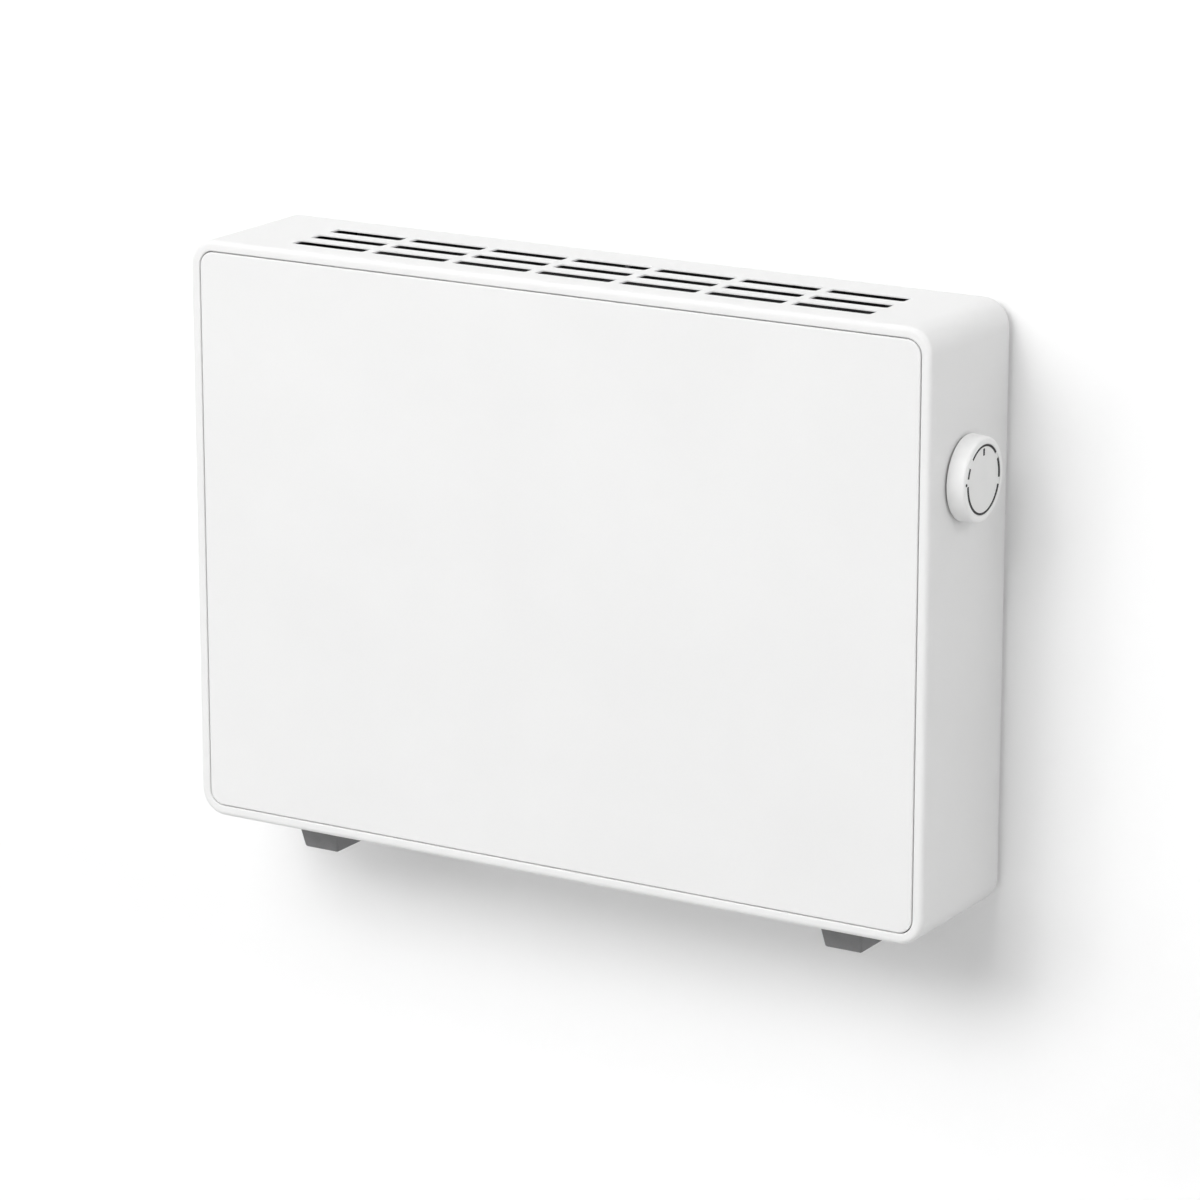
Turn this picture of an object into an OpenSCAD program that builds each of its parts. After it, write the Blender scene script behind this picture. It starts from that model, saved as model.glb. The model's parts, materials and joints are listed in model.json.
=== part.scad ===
// Wall-hung electric panel heater with a side thermostat knob.
// Millimetres. X runs to the right, Z up, and the wall is the plane Y = 0, with the heater in front of it
// at negative Y. The origin is the middle of the four wall screws. Distances from the wall are called d.

/* [Casing] */
// Width of the casing
casing_w = 500; // [460:5:700]
// Height of the casing
casing_h = 360; // [340:5:500]
// Depth of the casing, from its rear edge to its front
casing_d = 96; // [92:1:130]
// Gap between the wall and the casing's rear edge
wall_gap = 4; // [3:0.5:8]
// Thickness of the casing's sheet steel
sheet_t = 1; // [0.8:0.1:1.6]
// Radius of the four corners, seen from the front
corner_r = 16; // [15:0.5:22]
// Radius of the rounded edge all round the front
front_r = 3; // [2.5:0.5:4]
// Radius of the rounded edge all round the back
rear_r = 2; // [1.8:0.1:3]
// Width of the frame that shows round the front panel
bezel_w = 6.5; // [6:0.5:12]
// Radius of the bend where the frame turns in beside the front panel
lip_r = 1.8; // [1.7:0.1:2.4]
// Depth of the turned-in lip beside the front panel
lip_d = 8; // [7:0.5:10]
// Width of the flange that the rear edge turns in to
rear_flange_w = 12; // [10:0.5:13]

/* [Front panel] */
// Thickness of the front panel's sheet steel
panel_t = 1.2; // [0.8:0.1:1.6]
// Width of the groove between the front panel and its frame
groove_w = 0.7; // [0.6:0.1:1.6]
// Radius of the front panel's edge
panel_edge_r = 1.8; // [1.7:0.1:2.4]
// Depth of the front panel's turned-back edge
panel_return = 5; // [3.5:0.5:6]
// Width of each clip that holds the front panel
clip_w = 20; // [12:1:30]
// Thickness of the clips
clip_t = 1; // [0.6:0.1:1.4]
// Length of the pad that joins a clip to the panel
clip_pad = 11; // [8:0.5:14]
// Distance of the clips from the casing's corners
clip_inset = 90; // [60:5:110]

/* [Top grille] */
// Rows of air slots in the top
slot_rows = 3; // [1:1:3]
// Air slots in each row
slot_columns = 7; // [3:1:7]
// Length of an air slot
slot_len = 50.5; // [30:0.5:52]
// Width of an air slot
slot_w = 11; // [6:0.2:12]
// Radius of an air slot's corners
slot_corner_r = 1.5; // [0.5:0.1:2.5]
// Distance from one slot to the next in a row
slot_pitch = 56.6; // [54:0.2:60]
// Distance from one row to the next
slot_row_pitch = 20; // [14:0.5:20]
// Distance of the middle row from the front
slot_setback = 44; // [40:1:50]
// How far the slots lie to the right of the middle
slot_shift = 6; // [0:1:10]

/* [Bottom intake] */
// Rows of air slots in the bottom
intake_rows = 2; // [1:1:3]
// Air slots in each row of the bottom
intake_columns = 5; // [2:1:5]
// Length of an intake slot
intake_len = 40; // [20:1:44]
// Width of an intake slot
intake_w = 6; // [4:0.5:8]
// Distance from one intake slot to the next in a row
intake_pitch = 48; // [46:1:52]
// Distance from one intake row to the next
intake_row_pitch = 16; // [10:1:20]

/* [Back panel] */
// Thickness of the back panel
back_t = 1; // [0.8:0.1:1.6]
// Depth of the recess for the wall bracket, from the casing's rear edge
recess = 13; // [12:0.5:18]
// Width of the rim round the recess
rim_w = 15; // [14:0.5:20]
// Clearance between the rim and the inside of the casing
rim_fit = 0.3; // [0.2:0.1:0.6]

/* [Wall bracket] */
// Thickness of the bracket's sheet steel
bracket_t = 1.5; // [1.2:0.1:2]
// Distance between the two upright straps, middle to middle
strap_spacing = 260; // [200:5:280]
// Width of an upright strap
strap_w = 26; // [20:1:32]
// Distance of a strap's ends from the casing's top and bottom
strap_margin = 55; // [45:1:62]
// Height of the cross strap
cross_h = 30; // [20:1:40]
// Distance between the upper and lower wall screws
screw_rise = 180; // [120:5:190]
// Radius of a wall screw's hole
wall_hole_r = 2.75; // [2:0.25:3.5]
// Distance of the upper hooks' seats below the casing's top
hook_upper_drop = 64; // [62:1:68]
// Distance of the lower hooks' seats above the casing's bottom
hook_lower_rise = 82; // [80:1:90]
// Height of a hook's arm
hook_arm_h = 9; // [6:0.5:10]
// Height of a hook's tooth above its seat
hook_tooth_h = 8; // [5:0.5:9]
// Thickness of a hook's tooth
hook_tooth_t = 3; // [2:0.5:4]
// Clearance in front of and behind the back panel where it sits in a hook
hook_play = 0.7; // [0.5:0.1:1]
// Clearance beside a hook in its slot
hook_side_play = 0.75; // [0.5:0.05:1.2]
// Gap above a hook's seat with the heater hung
seat_gap = 0.2; // [0.1:0.05:0.4]
// How far the heater lifts to come off its hooks
lift = 12; // [10:0.5:14]

/* [Feet] */
// Width of a foot at its top
foot_w = 30.6; // [24:0.2:40]
// Length of a foot at its top, from front to back
foot_l = 44; // [36:1:52]
// Height of a foot
foot_h = 21.8; // [15:0.2:24]
// How far each side of a foot draws in towards the bottom
foot_draft_side = 3.2; // [1:0.1:4]
// How far the front and back of a foot draw in towards the bottom
foot_draft_front = 5.2; // [1:0.1:6]
// Distance of a foot's middle from the casing's side
foot_inset = 67.4; // [50:0.2:80]
// Distance of a foot's top edge from the casing's front
foot_setback = 26; // [20:1:32]
// Distance between the two screws of a foot
foot_screw_spacing = 16; // [14:1:18]
// Depth of the hole that a foot screw's head sits in
foot_bore_depth = 10; // [8:0.5:12]

/* [Knob] */
// Radius of the knob at its base
knob_r = 25; // [23:0.5:30]
// How far the knob's front stands out from the casing's side
knob_proud = 11.8; // [11:0.1:16]
// Running gap between the knob and the casing's side
knob_gap = 1.1; // [0.4:0.1:1.2]
// How much slimmer the knob is at its front than at its base
knob_taper = 0.6; // [0.2:0.1:1.5]
// Radius of the knob's rounded front edge
knob_edge_r = 2; // [1:0.2:2.4]
// Thickness of the knob's walls
knob_wall = 2.2; // [1.6:0.1:2.4]
// Radius of the disc let into the knob's face
disc_r = 20.2; // [18:0.1:20.4]
// Thickness of the disc
disc_t = 1.6; // [1.2:0.1:2]
// How far the disc's face lies below the knob's face
disc_sunk = 0.25; // [0.1:0.05:0.5]
// Clearance round the disc
disc_fit = 0.2; // [0.1:0.05:0.4]
// Distance of the knob's middle from the casing's front
knob_setback = 43; // [40:0.5:46]
// Distance of the knob's middle below the casing's top
knob_drop = 92.5; // [80:0.5:110]
// Width of the pointer mark
pointer_w = 1.8; // [0.8:0.1:2]
// Length of the pointer mark
pointer_len = 4; // [2:0.1:5]
// Distance of the pointer mark from the disc's edge
pointer_inset = 2.3; // [2:0.1:4]
// Width of the widest scale mark
scale_w = 1.8; // [0.6:0.1:2]
// Radius of the dot beside the scale
dot_r = 0.95; // [0.5:0.05:1]
// Height of the printed marks
mark_t = 0.12; // [0.08:0.01:0.2]

/* [Thermostat] */
// Radius of the thermostat's spindle
spindle_r = 3; // [2.5:0.1:3.4]
// Running clearance between the spindle and its bush
spindle_fit = 0.05; // [0.02:0.01:0.1]
// Thickness that the spindle's flat removes
spindle_flat = 1; // [0.6:0.1:1.2]
// Outer radius of the bush that the spindle runs in
bush_r = 5; // [4.6:0.1:5.6]
// How far the bush stands out of the casing's side
bush_proud = 1.6; // [1:0.1:2]
// Height and width of the thermostat's body
thermostat_size = 34; // [33:0.5:38]
// Depth of the thermostat's body
thermostat_depth = 20; // [16:0.5:22]
// Distance between the thermostat's two screws
thermostat_screw_spacing = 28; // [26:0.5:29]
// Radius of the temperature sensor's bulb
bulb_r = 3; // [2.5:0.1:3.5]
// Length of the temperature sensor's bulb
bulb_len = 62; // [50:1:66]
// Radius of the capillary tube between the thermostat and the bulb
capillary_r = 0.75; // [0.6:0.05:1]

/* [Heating element] */
// Radius of the heating rod
rod_r = 4; // [3:0.25:4.5]
// Distance between the two legs of the heating rod
rod_spacing = 28; // [26:0.5:34]
// Height of the heating rod's middle above the casing's bottom
element_rise = 85; // [80:1:100]
// Distance of the heating rod from the casing's front
element_setback = 40; // [36:0.5:44]
// Gap between the casing's left side and the rod's bend
element_left = 26; // [22:1:36]
// Width of a fin, from front to back
fin_d = 44; // [30:1:50]
// Height of a fin
fin_h = 62; // [52:1:70]
// Thickness of a fin
fin_t = 0.6; // [0.4:0.1:1]
// Distance from one fin to the next
fin_pitch = 10; // [8:0.5:16]
// Clearance round the rod in a fin or a bush
rod_fit = 0.1; // [0.05:0.05:0.2]
// Outer radius of an insulating bush's body
insulator_r = 6.5; // [6:0.1:7]
// Radius of an insulating bush's collar
insulator_collar_r = 8.5; // [8:0.1:9.5]
// Length of an insulating bush's collar
insulator_collar = 3; // [2:0.5:4]
// Thickness of the heat shield
shield_t = 0.6; // [0.5:0.1:1]
// Gap between the back panel and the heat shield
shield_gap = 9; // [8:0.5:11]
// Distance of the heat shield's top below the casing's top
shield_top_margin = 30; // [28:1:36]
// Distance of the heat shield's bottom above the casing's bottom
shield_bottom_margin = 54; // [48:1:56]

/* [Controls] */
// Width of the space for the controls, inside the right side
controls_w = 38.6; // [38:0.2:44]
// Thickness of the partition and of the element's support
partition_t = 1.2; // [0.8:0.1:1.6]
// Width of the foot flange on the partition, the support and the shield
foot_flange_w = 12; // [10:0.5:14]
// Radius of the thermal cut-out's can
cutout_r = 7.8; // [7:0.1:9]
// Height of the thermal cut-out above the casing's bottom
cutout_rise = 200; // [190:1:210]
// Width of the terminal block
block_w = 32; // [30:0.5:34]
// Depth of the terminal block
block_d = 18; // [16:0.5:20]
// Height of the terminal block
block_h = 22; // [20:0.5:26]
// Height of the terminal block above the casing's bottom
block_rise = 30; // [26:1:34]
// Distance from one terminal to the next
pole_pitch = 10; // [9.4:0.1:10.4]
// Radius of the cable gland's bore
gland_bore_r = 3.6; // [3:0.1:4]
// Radius of the cable gland's thread
gland_thread_r = 6; // [5.5:0.1:7]
// Distance of the cable gland from the wall
gland_d = 44; // [40:1:50]
// Height of the cable gland's head below the casing
gland_head_h = 7; // [5:0.5:9]
// Length of the cable gland's thread
gland_thread_len = 12; // [10:0.5:14]
// Radius of an insulated wire
wire_r = 1.1; // [0.9:0.1:1.3]

/* [Screws] */
// Radius of a sheet-metal screw's thread
screw_r = 1.5; // [1.2:0.1:1.8]
// Radius of a sheet-metal screw's head
screw_head_r = 2.8; // [2.5:0.1:3.2]
// Height of a sheet-metal screw's head
screw_head_h = 2; // [1.6:0.1:2.2]
// How far a sheet-metal screw reaches past the sheets it joins
screw_reach = 2; // [1:0.5:2.5]
// Radius of a machine screw's thread
bolt_r = 2; // [1.8:0.1:2.2]
// Radius of a machine screw's head
bolt_head_r = 3.5; // [3:0.1:3.8]
// Height of a machine screw's head
bolt_head_h = 2.4; // [2:0.1:2.8]
// Height of a nut
nut_h = 3.2; // [2.6:0.1:3.6]
// Clearance round a screw in its hole
hole_fit = 0.15; // [0.1:0.05:0.3]

/* [Hidden] */
$fn = 48;
white = [0.94, 0.94, 0.94];
grey_plastic = [0.42, 0.42, 0.43];
light_grey = [0.83, 0.83, 0.82];
ink = [0.16, 0.16, 0.17];
zinc = [0.72, 0.74, 0.76];
bright = [0.86, 0.87, 0.88];
rod_grey = [0.45, 0.44, 0.43];
ceramic_white = [0.9, 0.87, 0.8];
brass_yellow = [0.8, 0.66, 0.36];
copper_red = [0.75, 0.45, 0.3];
black_plastic = [0.1, 0.1, 0.1];
brown = [0.42, 0.24, 0.14];
blue = [0.2, 0.35, 0.66];
green = [0.35, 0.6, 0.25];

// Planes of the casing, as distances from the wall
rear_d = wall_gap;
front_d = wall_gap + casing_d;
half_w = casing_w / 2;
half_h = casing_h / 2;
in_w = half_w - sheet_t;
in_h = half_h - sheet_t;

// Planes of the back panel and of what stands on it
rim_d = rear_d + sheet_t;
back_d = rear_d + recess;
floor_d = back_d + back_t;
shield_d = floor_d + shield_gap;
front_gap = 1;
partition_front_d = front_d - lip_d - clip_t - front_gap;
recess_corner_r = 3;
recess_lap = 0.5;

// How far a cut reaches past what it cuts, how deep a screw's hole is, and the clearance of snug parts
over = 1;
hole_reach = 3;
snug_fit = 0.05;

// Size of the front panel, left after the frame and the groove, and the clips' clearance and grip
panel_w = casing_w - 2 * (bezel_w + groove_w);
panel_h = casing_h - 2 * (bezel_w + groove_w);
panel_corner_r = max(corner_r - bezel_w - groove_w, panel_edge_r + 0.5);
clip_gap = 0.2;
clip_grip = 1.5;

// Blade terminals
blade_w = 6.3;
blade_t = 0.8;
blade_len = 8;
end_gap = 0.3;

// Places in the controls' space, at the right
partition_x = in_w - controls_w;
controls_x = partition_x + partition_t;
controls_mid_x = (controls_x + in_w) / 2;
knob_d = front_d - knob_setback;
knob_z = half_h - knob_drop;
thermostat_x = in_w - thermostat_depth;
thermostat_low_z = knob_z - thermostat_size / 2;
cutout_d = front_d - element_setback;
cutout_z = -half_h + cutout_rise;
cutout_back = 4;
cutout_proud = 7;
cutout_front_x = controls_x + cutout_proud;
cutout_flange_t = 1;
cutout_ear_r = 3.4;
cutout_ear = cutout_r + cutout_ear_r + end_gap;
cutout_wire_gap = 10;
cutout_tip_x = cutout_front_x + blade_len + end_gap;
thermostat_blade_x = in_w - thermostat_depth / 2;
thermostat_blade_gap = 14;
thermostat_screw_len = 6;
thermostat_tip_z = thermostat_low_z - blade_len - end_gap;

// The heating element and its support
element_d = front_d - element_setback;
element_z = -half_h + element_rise;
rod_left_x = -half_w + element_left + rod_spacing / 2 + rod_r;
rod_overhang = 9;
rod_right_x = controls_x + rod_overhang;
support_from_bend = 5;
support_x = rod_left_x + support_from_bend;
rod_heights = [element_z - rod_spacing / 2, element_z + rod_spacing / 2];
fin_margin = 6;
fin_first_x = support_x + partition_t + insulator_collar + 1.5 * fin_margin;
fin_last_x = partition_x - insulator_collar - fin_margin;
terminal_pin_r = 1.5;
terminal_pin_len = 5;
element_tip_x = rod_right_x + terminal_pin_len + blade_len + end_gap;
support_margin = 16;

// The terminal block, the gland and the earth stud
block_z = -half_h + block_rise;
block_bore_r = 1.9;
block_wire_d = floor_d + block_d / 2;
block_top_z = block_z + block_h;
wire_entry = 4;
wire_start_z = block_top_z - wire_entry;
pole_x = [for (k = [-1:1]) controls_mid_x + k * pole_pitch];
block_ear_t = 3;
block_ear_len = 8;
gland_head_r = 9;
gland_hex_h = 0.6 * gland_head_h;
gland_collar_r = 7.5;
gland_nut_h = 4;
gland_x = controls_x + gland_head_r;
earth_rise = 70;
earth_z = block_z + earth_rise;
earth_len = 14;
lug_t = 1.4;
lug_r = 4.5;
lug_len = 8;
nut_r = 2.2 * bolt_r;
bulb_gap = 1.2;
bulb_x = controls_x + bulb_r + bulb_gap;
bulb_setback = 10;
bulb_d = partition_front_d - bulb_setback;
bulb_rise = 20;
bulb_low_z = -half_h + bulb_rise;
bulb_clip_t = 0.8;
bulb_clip_w = 6;

// How far the wires and the capillary tube run straight, bow out and keep from the casing's side
wire_lead = 10;
wire_bow = 5;
wire_stand = 7;
tube_lead = 12;
tube_bow = 9;
tube_stand = 4;

// The knob, with x measured outwards from the casing's side
disc_front = knob_proud - disc_sunk;
disc_back = disc_front - disc_t;
web_t = 2;
hub_wall = 2.8;
hub_r = spindle_r + hub_wall;
hub_base = bush_proud + 0.6;
spindle_hidden = 12;
spindle_start = -sheet_t - spindle_hidden;
spindle_end = disc_back - 0.4;
spring_t = 0.4;
spring_gap = 0.5;
flat_x = spindle_r - spindle_flat;

// The scale's marks, each with its two angles and with its widths in the middle and at the ends, as
// shares of scale_w. Angles run from the rear through straight up to the front, as do the dot's.
scale_marks = [[41, 134, 1, 0.6], [150, 168, 0.8, 0.7], [-7, 28, 0.9, 0.7], [-179, -19, 0.9, 0.35]];
dot_angle = 177;
dot_gap = 0.25;

// Heights of the hook seats, and places of the uprights
hook_seats = [half_h - hook_upper_drop, hook_lower_rise - half_h];
strap_h = casing_h - 2 * strap_margin;
strap_x = strap_spacing / 2;
hook_slot_spare = 1.5;
hook_slot_h = lift + hook_arm_h + hook_slot_spare;
hook_chamfer = 2;
hook_ramp = 4;

// Places of the feet
foot_x = half_w - foot_inset;
foot_d = front_d - foot_setback - foot_l / 2;
foot_screw_places = [for (sx = [-1, 1], sd = [-1, 1]) [sx * foot_x, foot_d + sd * foot_screw_spacing / 2]];

// Places of the rear screws, seen from the front as [x, z]
rear_screw_u = 7;
rear_screw_inset = 60;
rear_screw_places = concat(
    [for (sx = [-1, 0, 1], sz = [-1, 1])
        [sx * (half_w - rear_screw_inset), sz * (half_h - rear_screw_u)]],
    [for (sx = [-1, 1]) [sx * (half_w - rear_screw_u), 0]]);

// Places of the sheet-metal screws on the back panel, as [x, z, thickness under the head]
shield_side_gap = 2.5;
shield_right_x = partition_x - foot_flange_w - shield_side_gap;
shield_left_x = support_x + partition_t + shield_side_gap;
shield_screw_inset = 40;
partition_screw_inset = 50;
support_screw_gap = 6;
shield_low_z = shield_bottom_margin - half_h;
shield_high_z = half_h - shield_top_margin;
partition_screw_x = partition_x - foot_flange_w / 2;
support_screw_x = support_x - foot_flange_w / 2;
floor_screw_places = concat(
    [for (s = [-1, 0, 1]) [partition_screw_x, s * (half_h - partition_screw_inset), partition_t]],
    [for (sz = [-1, 1])
        [support_screw_x, element_z + sz * (rod_spacing / 2 + support_screw_gap), partition_t]],
    [for (x = [shield_left_x + shield_screw_inset, shield_right_x - shield_screw_inset],
          z = [shield_low_z - foot_flange_w / 2, shield_high_z + foot_flange_w / 2])
        [x, z, shield_t]],
    [for (z = [block_z - block_ear_len / 2, block_top_z + block_ear_len / 2])
        [controls_mid_x, z, block_ear_t]]);

// The two ends of a stretch, from its middle and half its length, or from its start and its length
function around(middle, half) = [middle - half, middle + half];
function onwards(start, length) = [start, start + length];

// A block between two planes in each direction, with d as the distance from the wall
module block(x, d, z) {
    translate([x[0], -d[1], z[0]])
        cube([x[1] - x[0], d[1] - d[0], z[1] - z[0]]);
}

// Turns a drawing so that its Z is the distance from the wall and its Y is up
module from_wall(d) {
    rotate([90, 0, 0])
        translate([0, 0, d])
            children();
}

// Turns a drawing so that its Z runs along X, from a point in the heater
module along_x(x, d, z) {
    translate([x, -d, z])
        rotate([0, 90, 0])
            children();
}

// A drawing that faces a point of the wall, for screws and their holes
module at_wall(x, z, d) {
    translate([x, -d, z])
        rotate([90, 0, 0])
            children();
}

// A flat rectangle with round corners
module rounded(w, h, r) {
    square([w - 2 * r, h], center = true);
    square([w, h - 2 * r], center = true);
    for (sx = [-1, 1], sy = [-1, 1])
        translate([sx * (w / 2 - r), sy * (h / 2 - r)])
            circle(r);
}

// A flat slot with round ends, along X
module stadium(length, width) {
    square([length - width, width], center = true);
    for (sx = [-1, 1])
        translate([sx * (length - width) / 2, 0])
            circle(width / 2);
}

// The quarter of a bent sheet's section whose outside faces along sx and sy
module bend(r, t, sx, sy) {
    intersection() {
        difference() {
            circle(r);
            circle(r - t);
        }
        translate([sx > 0 ? 0 : -r, sy > 0 ? 0 : -r])
            square(r);
    }
}

// Sweeps a section round a rectangle with round corners. The section's x is the distance outwards from
// the corners' own axes, and its y becomes the distance from the wall.
module edge_sweep(w, h, r) {
    for (i = [0:3]) {
        out = (i % 2 == 0 ? w : h) / 2 - r;
        along = (i % 2 == 0 ? h : w) / 2 - r;
        rotate([0, 0, 90 * i])
            translate([out, along, 0]) {
                rotate([90, 0, 0])
                    linear_extrude(2 * along)
                        children();
                rotate_extrude(angle = 90)
                    children();
            }
    }
}

// A cross recess for a screwdriver, cut down from Z = 0
module cross_recess(r, depth) {
    for (a = [0, 90])
        rotate([0, 0, a])
            translate([0, 0, -depth / 2])
                cube([2 * r, r / 3, depth], center = true);
}

// A screw along Z: its head ends at h and its seat is at 0
module screw(thread_r, length, head_r, head_h) {
    translate([0, 0, -length])
        cylinder(h = length, r = thread_r);
    difference() {
        cylinder(h = head_h, r = head_r);
        translate([0, 0, head_h])
            cross_recess(head_r * 0.6, head_h * 0.6);
    }
}

// A hole for a screw, along Z to both sides
module screw_hole(thread_r, reach = hole_reach) {
    cylinder(h = 2 * reach, r = thread_r + hole_fit, center = true);
}

// Blends two numbers, from a at t = 0 to b at t = 1
function mix(a, b, t) = a + (b - a) * t;

// A smooth curve through four points, at t from 0 to 1 between the middle two
function spline(a, b, c, d, t) =
    0.5 * (2 * b + (c - a) * t + (2 * a - 5 * b + 4 * c - d) * t * t + (3 * b - a - 3 * c + d) * t * t * t);

// The smooth path through a route, with several steps between its points
function smooth_route(p, steps) = concat(
    [for (i = [0:len(p) - 2], k = [0:steps - 1])
        spline(p[max(i - 1, 0)], p[i], p[i + 1], p[min(i + 2, len(p) - 1)], k / steps)],
    [p[len(p) - 1]]);

// A direction at length 1
function unit(v) = v / norm(v);

// The direction of a path at one of its points
function heading(q, i) = unit(q[min(i + 1, len(q) - 1)] - q[max(i - 1, 0)]);

// A round tube along a route
module tube(route, r, sides = 6, steps = 3) {
    q = smooth_route(route, steps);
    n = len(q);
    aside = [0.2, 1, 0.1];
    rings = [for (i = [0:n - 1])
        let (h = heading(q, i), u = unit(cross(h, aside)), v = cross(h, u))
        for (k = [0:sides - 1]) q[i] + r * (cos(360 * k / sides) * u + sin(360 * k / sides) * v)];
    walls = [for (i = [0:n - 2], k = [0:sides - 1])
        let (a = i * sides + k, b = i * sides + (k + 1) % sides)
        for (f = [[a, b, a + sides], [b, b + sides, a + sides]]) f];
    start = [for (k = [1:sides - 2]) [0, k + 1, k]];
    stop = [for (k = [1:sides - 2]) (n - 1) * sides * [1, 1, 1] + [0, k, k + 1]];
    polyhedron(rings, concat(walls, start, stop));
}

// Section of the casing's wall, from the lip beside the front panel to the flange at the rear
module casing_section() {
    r = corner_r;
    translate([r - sheet_t, rear_d + rear_r])
        square([sheet_t, casing_d - rear_r - front_r]);
    translate([r - front_r, front_d - front_r])
        bend(front_r, sheet_t, 1, 1);
    translate([r - bezel_w + lip_r, front_d - sheet_t])
        square([bezel_w - lip_r - front_r, sheet_t]);
    translate([r - bezel_w + lip_r, front_d - lip_r])
        bend(lip_r, sheet_t, -1, 1);
    translate([r - bezel_w, front_d - lip_d])
        square([sheet_t, lip_d - lip_r]);
    translate([r - rear_r, rear_d + rear_r])
        bend(rear_r, sheet_t, 1, -1);
    translate([r - rear_flange_w, rear_d])
        square([rear_flange_w - rear_r, sheet_t]);
}

// The painted steel shell round the four sides, with its air slots and the knob's hole
module casing() {
    color(white)
    difference() {
        from_wall(0)
            edge_sweep(casing_w, casing_h, corner_r)
                casing_section();
        for (i = [0:slot_columns - 1], j = [0:slot_rows - 1])
            translate([
                slot_shift + (i - (slot_columns - 1) / 2) * slot_pitch,
                -(front_d - slot_setback) + (j - (slot_rows - 1) / 2) * slot_row_pitch,
                half_h - sheet_t - over])
                linear_extrude(sheet_t + 2 * over)
                    rounded(slot_len, slot_w, slot_corner_r);
        for (i = [0:intake_columns - 1], j = [0:intake_rows - 1])
            translate([
                (i - (intake_columns - 1) / 2) * intake_pitch,
                -element_d + (j - (intake_rows - 1) / 2) * intake_row_pitch,
                -half_h - over])
                linear_extrude(sheet_t + 2 * over)
                    stadium(intake_len, intake_w);
        along_x(in_w - over, knob_d, knob_z)
            cylinder(h = sheet_t + 2 * over, r = bush_r + hole_fit);
        for (s = [-1, 1])
            along_x(in_w, knob_d, knob_z + s * thermostat_screw_spacing / 2)
                screw_hole(bolt_r);
        for (p = foot_screw_places)
            translate([p[0], -p[1], -half_h])
                screw_hole(bolt_r);
        translate([gland_x, -gland_d, -half_h - over])
            cylinder(h = sheet_t + 2 * over, r = gland_thread_r + hole_fit);
        for (p = rear_screw_places)
            at_wall(p[0], p[1], rear_d)
                screw_hole(screw_r);
    }
}

// Section of the front panel's edge: a rounded bend and a turned-back edge
module panel_section() {
    r = panel_corner_r;
    translate([r - panel_edge_r, front_d - panel_edge_r])
        bend(panel_edge_r, panel_t, 1, 1);
    translate([r - panel_t, front_d - panel_return])
        square([panel_t, panel_return - panel_edge_r]);
}

// The flat painted front, let into its frame
module front_panel() {
    color(white) {
        from_wall(0)
            edge_sweep(panel_w, panel_h, panel_corner_r)
                panel_section();
        from_wall(front_d - panel_t)
            linear_extrude(panel_t)
                rounded(
                    panel_w - 2 * panel_edge_r, panel_h - 2 * panel_edge_r,
                    panel_corner_r - panel_edge_r);
    }
}

// Section of one clip, with x outwards from the middle of the panel and y as the distance from the wall
module clip_section(edge) {
    leg = edge - bezel_w - groove_w - panel_edge_r - clip_gap - clip_t;
    grip = front_d - lip_d - clip_t;
    translate([leg + clip_t - clip_pad, front_d - panel_t - clip_t])
        square([clip_pad, clip_t]);
    translate([leg, grip])
        square([clip_t, front_d - panel_t - grip]);
    translate([leg, grip])
        square([edge - bezel_w + sheet_t + clip_grip - leg, clip_t]);
}

// Spring clips on the back of the front panel, which grip behind the frame's lip
module front_panel_clips() {
    color(zinc)
        from_wall(0)
            for (i = [0:3], s = [-1, 1]) {
                edge = i % 2 == 0 ? half_w : half_h;
                span = i % 2 == 0 ? half_h : half_w;
                rotate([0, 0, 90 * i])
                    translate([0, s * (span - clip_inset) + clip_w / 2, 0])
                        rotate([90, 0, 0])
                            linear_extrude(clip_w)
                                clip_section(edge);
            }
}

// The pressed back panel: a rim behind the casing's flange, and a recess for the wall bracket
module back_panel() {
    rim_edge = rear_r + rim_fit;
    wall_u = rim_w - back_t;
    floor_u = rim_w - recess_lap;
    color(zinc)
    difference() {
        union() {
            from_wall(rim_d)
                linear_extrude(back_t)
                    difference() {
                        rounded(casing_w - 2 * rim_edge, casing_h - 2 * rim_edge, corner_r - rim_edge);
                        rounded(casing_w - 2 * rim_w, casing_h - 2 * rim_w, recess_corner_r);
                    }
            from_wall(rim_d)
                linear_extrude(floor_d - rim_d)
                    difference() {
                        rounded(casing_w - 2 * wall_u, casing_h - 2 * wall_u, recess_corner_r + back_t);
                        rounded(casing_w - 2 * rim_w, casing_h - 2 * rim_w, recess_corner_r);
                    }
            from_wall(back_d)
                linear_extrude(back_t)
                    rounded(casing_w - 2 * floor_u, casing_h - 2 * floor_u, recess_corner_r + recess_lap);
        }
        for (p = rear_screw_places)
            at_wall(p[0], p[1], rim_d)
                screw_hole(screw_r);
        for (p = floor_screw_places)
            at_wall(p[0], p[1], back_d)
                screw_hole(screw_r);
        for (sx = [-1, 1], seat = hook_seats)
            block(
                hook_span(sx) + around(0, hook_side_play), [back_d - over, floor_d + over],
                [seat + seat_gap - hook_slot_h, seat + seat_gap]);
        at_wall(controls_mid_x, earth_z, back_d)
            screw_hole(bolt_r);
    }
}

// Screws that hold the back panel to the casing's rear flange, driven from behind
module back_panel_screws() {
    color(zinc)
        for (p = rear_screw_places)
            translate([p[0], -rear_d, p[1]])
                rotate([-90, 0, 0])
                    screw(screw_r, sheet_t + back_t + screw_reach, screw_head_r, screw_head_h);
}

// The two x planes of a hook, on the outer edge of an upright
function hook_span(side) = side > 0
    ? [strap_x + strap_w / 2 - bracket_t, strap_x + strap_w / 2]
    : [-strap_x - strap_w / 2, -strap_x - strap_w / 2 + bracket_t];

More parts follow.
